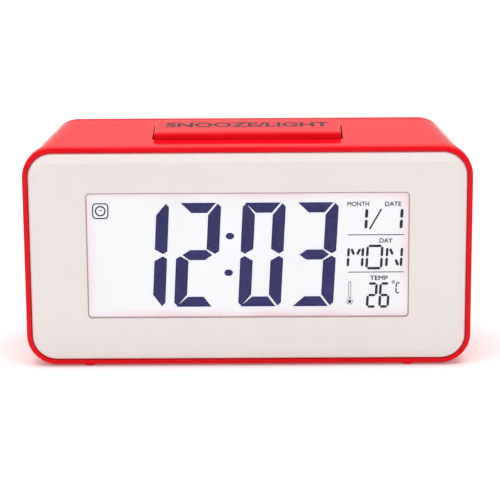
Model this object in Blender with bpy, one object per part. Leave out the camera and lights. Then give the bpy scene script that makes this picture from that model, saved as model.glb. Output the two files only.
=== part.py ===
"""Desk alarm clock with a liquid-crystal display, built as the assembly of its real pieces.

Frame: metres, +Z up. The display faces -Y, and the origin lies on the table under the clock's middle.
Run it with: blender --background --python part.py
"""

import math

import bmesh
import bpy
from mathutils import Matrix, Vector

MM = 0.001

# ---------------------------------------------------------------- overall
WIDTH = 135 * MM
HEIGHT = 68.5 * MM  # table to the top of the front flange
DEPTH = 45 * MM  # bezel face to the tips of the rear buttons
REST_GAP = 0.2 * MM  # between pieces that lie on each other
SLIDE_GAP = 0.3 * MM  # round pieces that slide or drop in
OVERLAP = 0.5 * MM  # how far one shape runs into another that it is one piece with
REACH = 5 * MM  # how far a cutter runs past the wall that it cuts
CORNER_STEPS = 7  # straight steps in a quarter circle
ROUND_SIDES = 24
SMALL_SIDES = 12
SHARP_ANGLE = math.radians(35)
HALF_ROUND = math.sqrt(0.5)

# ---------------------------------------------------------------- case shell
RIM = 1.75 * MM  # red rim round the bezel
RIM_ROUND = 1.2 * MM
FLANGE_RADIUS = 9.2 * MM
FLANGE_DEPTH = 4 * MM
FLANGE_STEP = 0.5 * MM  # how far the flange stands out from the body behind it
BODY_RADIUS = 8.6 * MM
SIDE_TAPER = 5.5 * MM  # each side draws in by this much towards the back
TOP_TAPER = 0.1 * MM
WALL = 2 * MM
MIN_RADIUS = 0.6 * MM
BEZEL_PROUD = 1.5 * MM
BEZEL_SEAT = 3.5 * MM  # depth of the pocket that holds the bezel
BEZEL_GAP = 0.15 * MM
FOOT_HEIGHT = 0.5 * MM
FRONT_FOOT_RADIUS = 1.7 * MM
REAR_FOOT_RADIUS = 2.6 * MM
FOOT_FROM_SIDE = 19 * MM
REAR_FOOT_FROM_BACK = 8 * MM
FOOT_BEVEL = 0.25 * MM

# ---------------------------------------------------------------- rear cover and its screws
BUTTON_PROUD = 1 * MM
COVER_RIM = 3 * MM
COVER_ROUND = 1.6 * MM
SPIGOT_THICK = 1.4 * MM
SPIGOT_DEPTH = 1.8 * MM
SCREW_FROM_SIDE = 12 * MM
SCREW_FROM_BOTTOM = 8.7 * MM
SCREW_FROM_TOP = 7.7 * MM
SCREW_SHANK_RADIUS = 1.3 * MM
SCREW_HEAD_RADIUS = 2.3 * MM
SCREW_HEAD_HEIGHT = 1.6 * MM
SCREW_LENGTH = 12 * MM
SCREW_BOSS_RADIUS = 3.3 * MM
SCREW_WELL_DEPTH = 4 * MM
SCREW_WELL_FLOOR = 2 * MM
POST_LENGTH = 17 * MM
GUSSET_THICK = 1.6 * MM
CROSS_SLOT_LENGTH = 2.6 * MM
CROSS_SLOT_WIDTH = 0.6 * MM
CROSS_SLOT_DEPTH = 1 * MM

# ---------------------------------------------------------------- front bezel and display
WINDOW_WIDTH = 97 * MM
WINDOW_HEIGHT = 39.1 * MM
WINDOW_RADIUS = 1.2 * MM
WINDOW_RISE = 0.75 * MM  # window centre above the bezel's centre
WINDOW_LIP = 0.9 * MM
BEVEL_WIDTH = 2.8 * MM
BEVEL_DEPTH = 1.5 * MM
BEZEL_WALL = 1.8 * MM
BEZEL_SKIRT = 1.6 * MM
PANEL_MARGIN = 1.8 * MM  # how far the display panes run past the window's sides
PANEL_ABOVE = 0.5 * MM
PANEL_BELOW = 1.6 * MM
PANE_GAP = 0.1 * MM
LENS_THICK = 1.2 * MM
FILM_THICK = 0.2 * MM
GLASS_THICK = 1.1 * MM
GUIDE_THICK = 3 * MM
REFLECTOR_THICK = 0.3 * MM
CONTACT_LEDGE = 2.1 * MM  # front glass left bare at the bottom for the zebra strip
TRAY_WALL = 1.6 * MM
TRAY_FLOOR = 1 * MM
TRAY_CLEARANCE = 0.3 * MM
LED_ROOM = 1.9 * MM
LED_THICK = 1.4 * MM
LED_HEIGHT = 4 * MM
STRIP_INSET = 4 * MM
STRIP_THICK = 1.5 * MM
TRAY_SUPPORT = 3.2 * MM
EAR_HALF = 3.4 * MM

# ---------------------------------------------------------------- main board
BOARD_THICK = 1.6 * MM
BOARD_FROM_SIDE = 6.5 * MM
BOARD_MARGIN = 4 * MM  # how far the board runs past the window's top and bottom
BOARD_POST_FROM_SIDE = 9.5 * MM
BOARD_POST_INSET = 4 * MM  # from the board's top and bottom edges
BOARD_POST_RADIUS = 2.5 * MM
BOARD_HOLE_RADIUS = 1.2 * MM
BOARD_SCREW_RADIUS = 0.9 * MM
BOARD_SCREW_HEAD = 2 * MM
BOARD_SCREW_HEAD_HEIGHT = 1.3 * MM
BOARD_SCREW_LENGTH = 7 * MM
STAKE_HEAD_RADIUS = 1.8 * MM
STAKE_HEAD_HEIGHT = 0.7 * MM
CHIP_RADIUS = 6 * MM
CHIP_HEIGHT = 1.6 * MM
CHIP_X = 12 * MM
CRYSTAL_RADIUS = 1 * MM
CRYSTAL_LENGTH = 6.2 * MM
CRYSTAL_X = -9 * MM
CAPACITOR_RADIUS = 2.5 * MM
CAPACITOR_HEIGHT = 6 * MM
CAPACITOR_BEVEL = 0.3 * MM
CAPACITOR_X = 34 * MM
PART_RISE = 9 * MM  # crystal below and capacitor above the board's middle

# ---------------------------------------------------------------- battery bay
CELL_RADIUS = 5.25 * MM
CELL_LENGTH = 44.5 * MM
CELL_NUB_RADIUS = 1.9 * MM
CELL_NUB_LENGTH = 0.8 * MM
CELL_GAP = 0.7 * MM
CELL_COUNT = 3
BAY_END_ROOM = 3.75 * MM  # for a contact and its spring at each end of the cells
BAY_EDGE_ROOM = 1.3 * MM
BAY_WALL = 1.6 * MM
BAY_FLOOR = 1.2 * MM
BAY_BOTTOM = 5.8 * MM
CONTACT_THICK = 0.5 * MM
CONTACT_WIDTH = 8 * MM
SPRING_RADIUS = 2.6 * MM
SPRING_WIRE = 0.35 * MM
SPRING_TURNS = 3
HINGE_IN = 1.5 * MM  # hinge axis in from the cover's face, and the knuckle's radius
PIN_RADIUS = 0.7 * MM
PIN_GAP = 0.2 * MM
PIN_LENGTH = 1.1 * MM
LATCH_HALF = 6 * MM
LATCH_SLIT = 0.9 * MM
LATCH_LENGTH = 8 * MM
LATCH_RIB_HEIGHT = 0.4 * MM
LATCH_RIB_WIDTH = 0.8 * MM
LATCH_RIB_PITCH = 1.8 * MM
LATCH_RIBS = 3

# ---------------------------------------------------------------- rear keys
KEY_NAMES = ("mode", "set", "up", "down")
KEY_PITCH = 12.5 * MM
KEY_FIRST_X = -30 * MM
KEY_BELOW_TOP = 15.2 * MM
KEY_RADIUS = 3.6 * MM
KEY_FLANGE_RADIUS = 4.9 * MM
KEY_FLANGE_THICK = 0.9 * MM
KEY_BEVEL = 0.4 * MM
KEY_TRAVEL = 0.6 * MM
SWITCH_TRAVEL = 0.25 * MM
SWITCH_SIDE = 6 * MM
SWITCH_HEIGHT = 3.5 * MM
SWITCH_WELL_DEPTH = 1 * MM
PLUNGER_RADIUS = 1.7 * MM
PLUNGER_LENGTH = 2.05 * MM
CONTACT_CLEARANCE = 0.05 * MM  # left between a pressed key and its plunger
KEY_BOARD_HALF = 41 * MM
KEY_BOARD_HEIGHT = 11 * MM
STAKE_X = 37.5 * MM
STAKE_POST_RADIUS = 2.2 * MM
STAKE_PIN_RADIUS = 0.9 * MM

# ---------------------------------------------------------------- night-light slide switch
SLIDER_X = 23.5 * MM  # the knob's middle in its off position
SLIDER_TRAVEL = 3 * MM
KNOB_LENGTH = 3 * MM
KNOB_HEIGHT = 2.4 * MM
KNOB_PROUD = 0.6 * MM
CAN_LENGTH = 11 * MM
CAN_WIDTH = 5 * MM
CAN_HEIGHT = 4 * MM

# ---------------------------------------------------------------- sounder, vents, thermistor
SOUNDER_RADIUS = 12 * MM
SOUNDER_CERAMIC = 0.66  # of the disc's radius
SOUNDER_DROP = 1.5 * MM  # below the upper cells
SOUNDER_THICK = 0.5 * MM
SOUNDER_RING = 1.2 * MM
SOUNDER_RING_HEIGHT = 1.8 * MM
VENT_WIDTH = 1.6 * MM
VENT_FLAT = 0.01 * MM  # keeps the two round ends of a slot apart
VENT_PITCH = 3.5 * MM
VENT_CIRCLE = 9.5 * MM
VENT_ROWS = 5
BEAD_RADIUS = 1.2 * MM
BEAD_LEAD_RADIUS = 0.3 * MM
BEAD_LEAD_PITCH = 1.4 * MM

# ---------------------------------------------------------------- snooze bar
BAR_LENGTH = 57.2 * MM
BAR_WIDTH = 19 * MM
BAR_FORWARD = 1.75 * MM  # bar's middle in front of the body's middle
BAR_PROUD = 2 * MM
BAR_RADIUS = 1.4 * MM
BAR_DRAFT = 0.3 * MM
BAR_BEVEL = 0.5 * MM
BAR_WALL = 1.6 * MM
BAR_TRAVEL = 1.5 * MM
BAR_FLANGE = 1.5 * MM
BAR_FLANGE_THICK = 1 * MM
BAR_FLANGE_BELOW = 6.6 * MM  # below the body's top at the flange's back
BAR_SKIRT = 1.5 * MM
SNOOZE_BOARD_BELOW_BAR = 6 * MM
SNOOZE_BOARD_THICK = 1.2 * MM
SNOOZE_BOARD_WIDTH = 12 * MM
SNOOZE_POST_OUT = 5.7 * MM  # posts beyond the bar's ends
SNOOZE_BOARD_OVERHANG = 3.2 * MM
SPRING_X = 20 * MM
BAR_SPRING_RADIUS = 2.1 * MM
BAR_SPRING_TURNS = 6
BAR_SPRING_SEAT = 3 * MM
BAR_SPRING_SEAT_RISE = 2.3 * MM
BAR_PIN_RADIUS = 1.3 * MM
BAR_PIN_DROP = 3 * MM

# ---------------------------------------------------------------- wiring
LEAD_RADIUS = 0.65 * MM
CABLE_RADIUS = 0.9 * MM
RIBBON_WIDTH = 9 * MM
RIBBON_THICK = 0.8 * MM
ROUTE_STEPS = 6  # straight steps between two points of a route

# ---------------------------------------------------------------- places that follow from the sizes
FRONT_Y = -DEPTH / 2
FLANGE_FRONT_Y = FRONT_Y + BEZEL_PROUD
FLANGE_BACK_Y = FLANGE_FRONT_Y + FLANGE_DEPTH
SEAT_Y = FLANGE_FRONT_Y + BEZEL_SEAT
COVER_Y = DEPTH / 2 - BUTTON_PROUD
COVER_INNER_Y = COVER_Y - WALL
PART_LINE_Y = COVER_Y - COVER_RIM
BODY_BOTTOM = FOOT_HEIGHT + FLANGE_STEP
BEZEL_MIDDLE_Z = (FOOT_HEIGHT + HEIGHT) / 2
WINDOW_Z = BEZEL_MIDDLE_Z + WINDOW_RISE

LENS_Y = FRONT_Y + WINDOW_LIP + PANE_GAP
FRONT_FILM_Y = LENS_Y + LENS_THICK + PANE_GAP
FRONT_GLASS_Y = FRONT_FILM_Y + FILM_THICK + PANE_GAP
REAR_GLASS_Y = FRONT_GLASS_Y + GLASS_THICK + PANE_GAP
REAR_FILM_Y = REAR_GLASS_Y + GLASS_THICK + PANE_GAP
GUIDE_Y = REAR_FILM_Y + FILM_THICK + PANE_GAP
REFLECTOR_Y = GUIDE_Y + GUIDE_THICK + PANE_GAP
TRAY_FLOOR_Y = REFLECTOR_Y + REFLECTOR_THICK + PANE_GAP
TRAY_BACK_Y = TRAY_FLOOR_Y + TRAY_FLOOR
BOARD_Y = TRAY_BACK_Y + REST_GAP
BOARD_BACK_Y = BOARD_Y + BOARD_THICK

PANE_HALF = WINDOW_WIDTH / 2 + PANEL_MARGIN
PANE_TOP = WINDOW_Z + WINDOW_HEIGHT / 2 + PANEL_ABOVE
PANE_BOTTOM = WINDOW_Z - WINDOW_HEIGHT / 2 - PANEL_BELOW
FRONT_GLASS_BOTTOM = PANE_BOTTOM - CONTACT_LEDGE
TRAY_INNER_HALF = PANE_HALF + LED_ROOM
TRAY_INNER_TOP = PANE_TOP + TRAY_CLEARANCE
TRAY_INNER_BOTTOM = FRONT_GLASS_BOTTOM - TRAY_CLEARANCE
BOARD_HEIGHT = WINDOW_HEIGHT + 2 * BOARD_MARGIN
BOARD_POST_X = WIDTH / 2 - BOARD_POST_FROM_SIDE
BOARD_POST_RISE = BOARD_HEIGHT / 2 - BOARD_POST_INSET

CELL_PITCH = 2 * CELL_RADIUS + CELL_GAP
BAY_HALF = CELL_LENGTH / 2 + BAY_END_ROOM
BAY_TOP = BAY_BOTTOM + 2 * (BAY_EDGE_ROOM + CELL_RADIUS) + (CELL_COUNT - 1) * CELL_PITCH
BAY_FLOOR_Y = COVER_INNER_Y - 2 * CELL_RADIUS - BAY_EDGE_ROOM - REST_GAP
CELL_Y = BAY_FLOOR_Y + REST_GAP + CELL_RADIUS
CELL_Z = [BAY_BOTTOM + BAY_EDGE_ROOM + CELL_RADIUS + n * CELL_PITCH for n in range(CELL_COUNT)]
HINGE_Y = COVER_Y - HINGE_IN
HINGE_Z = BAY_BOTTOM + SLIDE_GAP + HINGE_IN

KEY_FLANGE_Y = COVER_INNER_Y - REST_GAP  # flange's rear face, its stop
KEY_INNER_Y = KEY_FLANGE_Y - KEY_FLANGE_THICK
PLUNGER_TIP_Y = KEY_INNER_Y - (KEY_TRAVEL - SWITCH_TRAVEL) - CONTACT_CLEARANCE
SWITCH_TOP_Y = PLUNGER_TIP_Y - PLUNGER_LENGTH + SWITCH_WELL_DEPTH - SWITCH_TRAVEL - CONTACT_CLEARANCE
KEY_BOARD_BACK_Y = SWITCH_TOP_Y - SWITCH_HEIGHT - PANE_GAP
KEY_BOARD_Y = KEY_BOARD_BACK_Y - BOARD_THICK

BAR_Y = (FLANGE_BACK_Y + COVER_Y) / 2 - BAR_FORWARD
BAR_BACK = BAR_Y + BAR_WIDTH / 2


def body_share(y):
    """How far y lies from the flange, 0, to the back face, 1."""
    return (y - FLANGE_BACK_Y) / (COVER_Y - FLANGE_BACK_Y)


def body_half_width(y):
    """Half the body's outer width at y."""
    return WIDTH / 2 - FLANGE_STEP - SIDE_TAPER * body_share(y)


def body_top(y):
    """Height of the body's outer top face at y."""
    return HEIGHT - FLANGE_STEP - TOP_TAPER * body_share(y)


SCREW_X = WIDTH / 2 - SCREW_FROM_SIDE
SCREW_Z = (BODY_BOTTOM + SCREW_FROM_BOTTOM, body_top(COVER_Y) - SCREW_FROM_TOP)
SCREW_SEAT_Y = COVER_Y - SCREW_WELL_DEPTH
POST_BACK_Y = SCREW_SEAT_Y - SCREW_WELL_FLOOR - REST_GAP
POST_FRONT_Y = POST_BACK_Y - POST_LENGTH
KEY_Z = body_top(COVER_Y) - KEY_BELOW_TOP
SOUNDER_X = (BAY_HALF + BAY_WALL + body_half_width(COVER_Y) - WALL) / 2
SOUNDER_Z = CELL_Z[1] - SOUNDER_DROP

BAR_FLANGE_TOP = body_top(BAR_BACK) - BAR_FLANGE_BELOW + BAR_FLANGE_THICK
BAR_FLANGE_BOTTOM = BAR_FLANGE_TOP - BAR_FLANGE_THICK
SKIRT_BOTTOM = BAR_FLANGE_TOP + REST_GAP
SNOOZE_BOARD_TOP = BAR_FLANGE_BOTTOM - SNOOZE_BOARD_BELOW_BAR
SNOOZE_SWITCH_TOP = SNOOZE_BOARD_TOP + PANE_GAP + SWITCH_HEIGHT
SNOOZE_PLUNGER_BOTTOM = SNOOZE_SWITCH_TOP - SWITCH_WELL_DEPTH + SWITCH_TRAVEL + CONTACT_CLEARANCE
SNOOZE_PLUNGER_TOP = SNOOZE_PLUNGER_BOTTOM + PLUNGER_LENGTH
BAR_RIB_BOTTOM = SNOOZE_PLUNGER_TOP + BAR_TRAVEL - SWITCH_TRAVEL + CONTACT_CLEARANCE
BAR_SPRING_TOP = BAR_FLANGE_TOP + BAR_SPRING_SEAT_RISE - BAR_FLANGE_THICK
SNOOZE_POST_X = BAR_LENGTH / 2 + SNOOZE_POST_OUT

# ---------------------------------------------------------------- materials: sRGB colour, roughness, metallic
FINISHES = {
    "red_abs": ("D8141E", 0.35, 0),
    "white_abs": ("EBE1DF", 0.45, 0),
    "clear_acrylic": ("F4F6F8", 0.08, 0),
    "display_glass": ("DDE6E4", 0.05, 0),
    "polariser": ("B9BDB4", 0.3, 0),
    "light_guide": ("F6F8FF", 0.3, 0),
    "white_film": ("FAFAFA", 0.5, 0),
    "tray_abs": ("E6E6E2", 0.5, 0),
    "board_green": ("1E5B34", 0.45, 0),
    "board_brown": ("9A7B4A", 0.6, 0),
    "black_epoxy": ("101010", 0.35, 0),
    "black_nylon": ("1B1B1D", 0.5, 0),
    "tinned_steel": ("B8BCC0", 0.3, 1),
    "plated_steel": ("C9CBCD", 0.25, 1),
    "brass": ("C9A24B", 0.3, 1),
    "silicone_rubber": ("55585C", 0.7, 0),
    "cell_sleeve": ("2E6E3C", 0.4, 0),
    "lead_red": ("B71C1C", 0.45, 0),
    "lead_black": ("161616", 0.45, 0),
    "ribbon_grey": ("8F9398", 0.5, 0),
    "led_white": ("F2EFC8", 0.3, 0),
}


def linear(value):
    """One sRGB channel, 0 to 1, as linear light."""
    return value / 12.92 if value <= 0.04045 else ((value + 0.055) / 1.055) ** 2.4


def make_material(name):
    colour, roughness, metallic = FINISHES[name]
    material = bpy.data.materials.new(name)
    material.use_nodes = True
    shader = material.node_tree.nodes["Principled BSDF"]
    channels = [linear(int(colour[n : n + 2], 16) / 255) for n in (0, 2, 4)]
    shader.inputs["Base Color"].default_value = (*channels, 1)
    shader.inputs["Roughness"].default_value = roughness
    shader.inputs["Metallic"].default_value = metallic
    return material


# ---------------------------------------------------------------- shapes, each a new bmesh
def rounded(left, right, low, high, radius, steps=CORNER_STEPS):
    """Points (u, v) of a rounded rectangle, anticlockwise."""
    corners = (
        (right - radius, low + radius, -90),
        (right - radius, high - radius, 0),
        (left + radius, high - radius, 90),
        (left + radius, low + radius, 180),
    )
    points = []
    for u, v, start in corners:
        for step in range(steps + 1):
            angle = math.radians(start + 90 * step / steps)
            points.append((u + radius * math.cos(angle), v + radius * math.sin(angle)))
    return points


def at_y(points, y):
    return [(x, y, z) for x, z in points]


def at_z(points, z):
    return [(x, y, z) for x, y in points]


def at_x(points, x):
    return [(x, y, z) for y, z in points]


def outward(shape):
    """The same closed shape with every face turned outwards."""
    bmesh.ops.recalc_face_normals(shape, faces=shape.faces)
    shape.normal_update()
    if shape.calc_volume(signed=True) < 0:
        bmesh.ops.reverse_faces(shape, faces=shape.faces)
    return shape


def loft(sections, ring=False):
    """A solid through outlines with the same number of points. A ring also joins the last to the first."""
    shape = bmesh.new()
    loops = [[shape.verts.new(point) for point in points] for points in sections]
    for first, second in zip(loops, loops[1:] + loops[:1] if ring else loops[1:]):
        for n in range(len(first)):
            shape.faces.new((first[n - 1], first[n], second[n], second[n - 1]))
    if not ring:
        shape.faces.new(loops[0])
        shape.faces.new(loops[-1])
    return outward(shape)


def prism(points, travel):
    """The face through points, extruded along the vector travel."""
    shape = bmesh.new()
    face = shape.faces.new([shape.verts.new(point) for point in points])
    moved = bmesh.ops.extrude_face_region(shape, geom=[face])["geom"]
    corners = [item for item in moved if isinstance(item, bmesh.types.BMVert)]
    bmesh.ops.translate(shape, verts=corners, vec=travel)
    return outward(shape)


def box(low, high):
    """A block between two corners."""
    shape = bmesh.new()
    low, high = Vector(low), Vector(high)
    place = Matrix.Translation((low + high) / 2) @ Matrix.Diagonal((*(high - low), 1))
    bmesh.ops.create_cube(shape, size=1, matrix=place)
    return shape


def facing(axis):
    """The turn that takes +Z to the named axis."""
    turns = {"X": (90, "Y"), "Y": (-90, "X"), "Z": (0, "Z")}
    angle, about = turns[axis]
    return Matrix.Rotation(math.radians(angle), 4, about)


def turned(profile, base, axis, sides=ROUND_SIDES):
    """A solid of revolution from (radius, height) points that start and end on the axis, or make a loop."""
    shape = bmesh.new()
    corners = [shape.verts.new((radius, 0, height)) for radius, height in profile]
    edges = [shape.edges.new(pair) for pair in zip(corners, corners[1:])]
    if profile[0][0] > 0:
        edges.append(shape.edges.new((corners[-1], corners[0])))
    bmesh.ops.spin(
        shape,
        geom=corners + edges,
        cent=(0, 0, 0),
        axis=(0, 0, 1),
        angle=2 * math.pi,
        steps=sides,
        use_merge=True,
    )
    bmesh.ops.remove_doubles(shape, verts=shape.verts, dist=1e-7)
    bmesh.ops.transform(shape, matrix=Matrix.Translation(base) @ facing(axis), verts=shape.verts)
    return outward(shape)


def rod(base, axis, length, radius, sides=ROUND_SIDES):
    return turned([(0, 0), (radius, 0), (radius, length), (0, length)], base, axis, sides)


def bevelled_rod(base, axis, length, radius, bevel, sides=ROUND_SIDES):
    """A rod whose far end has a bevelled edge."""
    profile = [(0, 0), (radius, 0), (radius, length - bevel), (radius - bevel, length), (0, length)]
    return turned(profile, base, axis, sides)


def tube(base, axis, length, outer, inner, sides=ROUND_SIDES):
    return turned([(inner, 0), (outer, 0), (outer, length), (inner, length)], base, axis, sides)


def helix(base, axis, length, radius, wire, turns):
    """A coil spring whose ends stop one wire radius inside its length."""
    shape = bmesh.new()
    step_count = SMALL_SIDES * turns
    place = Matrix.Translation((radius, 0, wire)) @ facing("Y")
    circle = bmesh.ops.create_circle(shape, cap_ends=True, radius=wire, segments=6, matrix=place)
    rise = Vector((0, 0, (length - 2 * wire) / step_count))
    bmesh.ops.spin(
        shape,
        geom=circle["verts"] + shape.edges[:] + shape.faces[:],
        cent=(0, 0, 0),
        axis=(0, 0, 1),
        dvec=rise,
        angle=2 * math.pi * turns,
        steps=step_count,
        use_merge=False,
    )
    bmesh.ops.holes_fill(shape, edges=shape.edges)
    bmesh.ops.transform(shape, matrix=Matrix.Translation(base) @ facing(axis), verts=shape.verts)
    return outward(shape)


def gather(shapes):
    """Several shapes in one bmesh."""
    whole = bmesh.new()
    for shape in shapes:
        mesh = bpy.data.meshes.new("shape")
        shape.to_mesh(mesh)
        shape.free()
        whole.from_mesh(mesh)
        bpy.data.meshes.remove(mesh)
    return whole


# ---------------------------------------------------------------- objects
def link(thing, parent):
    bpy.context.scene.collection.objects.link(thing)
    thing.parent = parent
    return thing


def group(name, parent=None):
    return link(bpy.data.objects.new(name, None), parent)


def piece(name, shape, finish, parent, origin=(0, 0, 0)):
    """A named part from a shape. Its origin goes where it turns or slides."""
    bmesh.ops.translate(shape, verts=shape.verts, vec=-Vector(origin))
    mesh = bpy.data.meshes.new(name)
    shape.to_mesh(mesh)
    shape.free()
    mesh.materials.append(MATERIALS[finish])
    mesh.shade_smooth()
    mesh.set_sharp_from_angle(angle=SHARP_ANGLE)
    made = link(bpy.data.objects.new(name, mesh), parent)
    made.location = origin
    return made


def helper(name, shape):
    mesh = bpy.data.meshes.new(name)
    shape.to_mesh(mesh)
    shape.free()
    made = link(bpy.data.objects.new(name, mesh), HELPERS)
    made.hide_render = True
    made.display_type = "WIRE"
    return made


def apply_shape(target, label, shapes, operation):
    """Joins shapes to the target, or cuts them from it. The shapes of one call don't touch each other."""
    other = helper(f"{target.name}_{label}", gather(shapes))
    modifier = target.modifiers.new(label, "BOOLEAN")
    modifier.operation = operation
    modifier.object = other


def join(target, label, *shapes):
    apply_shape(target, label, shapes, "UNION")


def cut(target, label, *shapes):
    apply_shape(target, label, shapes, "DIFFERENCE")


def smooth_route(points):
    """Points along a Catmull-Rom curve through the given ones."""
    ends = [points[0] * 2 - points[1], *points, points[-1] * 2 - points[-2]]
    route = []
    for before, start, end, after in zip(ends, ends[1:], ends[2:], ends[3:]):
        for step in range(ROUTE_STEPS):
            t = step / ROUTE_STEPS
            route.append(
                0.5
                * (
                    2 * start
                    + (end - before) * t
                    + (2 * before - 5 * start + 4 * end - after) * t**2
                    + (3 * start - before - 3 * end + after) * t**3
                )
            )
    return [*route, points[-1]]


def wire(name, points, radius, finish, parent):
    """A round lead along a smooth route."""
    route = smooth_route([Vector(point) for point in points])
    curve = bpy.data.curves.new(name, "CURVE")
    curve.dimensions = "3D"
    curve.bevel_depth = radius
    curve.bevel_resolution = 2
    curve.use_fill_caps = True
    spline = curve.splines.new("POLY")
    spline.points.add(len(route) - 1)
    for place, point in zip(spline.points, route):
        place.co = (*point, 1)
    curve.materials.append(MATERIALS[finish])
    return link(bpy.data.objects.new(name, curve), parent)


# ---------------------------------------------------------------- case
def flange_outline(inset, y):
    radius = FLANGE_RADIUS - inset
    half = WIDTH / 2 - inset
    return at_y(rounded(-half, half, FOOT_HEIGHT + inset, HEIGHT - inset, radius), y)


def body_outline(inset, y):
    radius = max(BODY_RADIUS - inset, MIN_RADIUS)
    half = body_half_width(y) - inset
    return at_y(rounded(-half, half, BODY_BOTTOM + inset, body_top(y) - inset, radius), y)


def rounding(outline, y, depth, radius):
    """Two sections of a rounded edge, from the end face at y to the side."""
    side = radius * (1 - HALF_ROUND)
    return [outline(radius, y), outline(side, y + math.copysign(side, depth))]


def sides_and_heights():
    """The four screw places, as (x, z)."""
    return [(side * SCREW_X, z) for z in SCREW_Z for side in (-1, 1)]


def case_gussets():
    """Webs from each screw post to the nearest side wall, then to the top or bottom wall."""
    across, upright = [], []
    ends = (POST_FRONT_Y + GUSSET_THICK, POST_BACK_Y - GUSSET_THICK)
    for x, z in sides_and_heights():
        side = math.copysign(1, x)
        wall = [(side * (body_half_width(y) - WALL / 2), y) for y in ends]
        corners = [(x, ends[0]), *wall, (x, ends[1])]
        across.append(prism(at_z(corners, z - GUSSET_THICK / 2), (0, 0, GUSSET_THICK)))
        low = z < WINDOW_Z
        rims = [BODY_BOTTOM + WALL / 2 if low else body_top(y) - WALL / 2 for y in ends]
        corners = [(ends[0], z), (ends[0], rims[0]), (ends[1], rims[1]), (ends[1], z)]
        upright.append(prism(at_x(corners, x - GUSSET_THICK / 2), (GUSSET_THICK, 0, 0)))
    return across, upright


def bar_outline(grow, z):
    half, deep = BAR_LENGTH / 2 + grow, BAR_WIDTH / 2 + grow
    radius = max(BAR_RADIUS + grow, MIN_RADIUS)
    return at_z(rounded(-half, half, BAR_Y - deep, BAR_Y + deep, radius, CORNER_STEPS // 2), z)


def sloped(points, above):
    """The points, moved to the given height above the body's sloping top."""
    return [(x, y, body_top(y) + above) for x, y, _ in points]


def feet():
    front_y = (FLANGE_FRONT_Y + FLANGE_BACK_Y) / 2
    rear_y = COVER_Y - REAR_FOOT_FROM_BACK
    spots = [(front_y, FRONT_FOOT_RADIUS, FOOT_HEIGHT), (rear_y, REAR_FOOT_RADIUS, BODY_BOTTOM)]
    made = []
    for y, radius, height in spots:
        for side in (-1, 1):
            x = side * (WIDTH / 2 - FOOT_FROM_SIDE)
            profile = [
                (0, 0),
                (radius - FOOT_BEVEL, 0),
                (radius, FOOT_BEVEL),
                (radius, height + OVERLAP),
                (0, height + OVERLAP),
            ]
            made.append(turned(profile, (x, y, 0), "Z", SMALL_SIDES))
    return made


def stake(x, y, z, axis, post_radius, post_length, board_thick):
    """A post with a pin through a board and a melted head behind it, from the head's end."""
    head = (post_length, STAKE_HEAD_HEIGHT)
    pin_length = head[1] + 2 * REST_GAP + board_thick
    profile = [
        (0, 0),
        (STAKE_HEAD_RADIUS, 0),
        (STAKE_HEAD_RADIUS, head[1]),
        (STAKE_PIN_RADIUS, head[1]),
        (STAKE_PIN_RADIUS, pin_length),
        (post_radius, pin_length),
        (post_radius, pin_length + post_length),
        (0, pin_length + post_length),
    ]
    return turned(profile, (x, y, z), axis, SMALL_SIDES)


def build_case_shell(parent):
    bezel_wall = RIM - BEZEL_GAP
    sections = [
        *rounding(flange_outline, FLANGE_FRONT_Y, 1, RIM_ROUND),
        flange_outline(0, FLANGE_FRONT_Y + RIM_ROUND),
        flange_outline(0, FLANGE_BACK_Y),
        body_outline(0, FLANGE_BACK_Y),
        body_outline(0, PART_LINE_Y),
        body_outline(WALL, PART_LINE_Y),
        body_outline(WALL, SEAT_Y),
        flange_outline(bezel_wall, SEAT_Y),
        flange_outline(bezel_wall, FLANGE_FRONT_Y),
    ]
    shell = piece("case_shell", loft(sections, ring=True), "red_abs", parent)
    places = sides_and_heights()
    across, upright = case_gussets()
    posts = [rod((x, POST_FRONT_Y, z), "Y", POST_LENGTH, SCREW_BOSS_RADIUS, SMALL_SIDES) for x, z in places]
    join(shell, "screw_posts", *posts)
    join(shell, "side_gussets", *across)
    join(shell, "end_gussets", *upright)
    join(shell, "feet", *feet())
    skirt_foot = bar_outline(SLIDE_GAP + BAR_SKIRT, SKIRT_BOTTOM)
    skirt = loft([skirt_foot, sloped(bar_outline(SLIDE_GAP + BAR_SKIRT, 0), -WALL / 2)])
    join(shell, "bar_skirt", skirt)
    head_z = SNOOZE_BOARD_TOP - SNOOZE_BOARD_THICK - REST_GAP - STAKE_HEAD_HEIGHT
    post_length = body_top(BAR_Y) - WALL / 2 - SNOOZE_BOARD_TOP - REST_GAP
    stakes = [
        stake(side * SNOOZE_POST_X, BAR_Y, head_z, "Z", STAKE_POST_RADIUS, post_length, SNOOZE_BOARD_THICK)
        for side in (-1, 1)
    ]
    join(shell, "snooze_posts", *stakes)
    opening = prism(bar_outline(SLIDE_GAP, SKIRT_BOTTOM - REACH), (0, 0, HEIGHT - SKIRT_BOTTOM + 2 * REACH))
    cut(shell, "bar_opening", opening)
    depth = SCREW_LENGTH
    pilots = [
        rod((x, POST_BACK_Y - depth, z), "Y", depth + REACH, SCREW_SHANK_RADIUS + REST_GAP, SMALL_SIDES)
        for x, z in places
    ]
    cut(shell, "screw_pilots", *pilots)
    return shell


# ---------------------------------------------------------------- rear cover
def vents(centre_x, centre_z):
    """Slots of different lengths that fill a circle."""
    made = []
    for row in range(VENT_ROWS):
        offset = (row - (VENT_ROWS - 1) / 2) * VENT_PITCH
        half = math.sqrt(VENT_CIRCLE**2 - offset**2)
        slot = rounded(
            centre_x - half,
            centre_x + half,
            centre_z + offset - VENT_WIDTH / 2,
            centre_z + offset + VENT_WIDTH / 2,
            VENT_WIDTH / 2 - VENT_FLAT,
            CORNER_STEPS // 2,
        )
        made.append(prism(at_y(slot, COVER_INNER_Y - REACH), (0, 2 * REACH, 0)))
    return made


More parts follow.
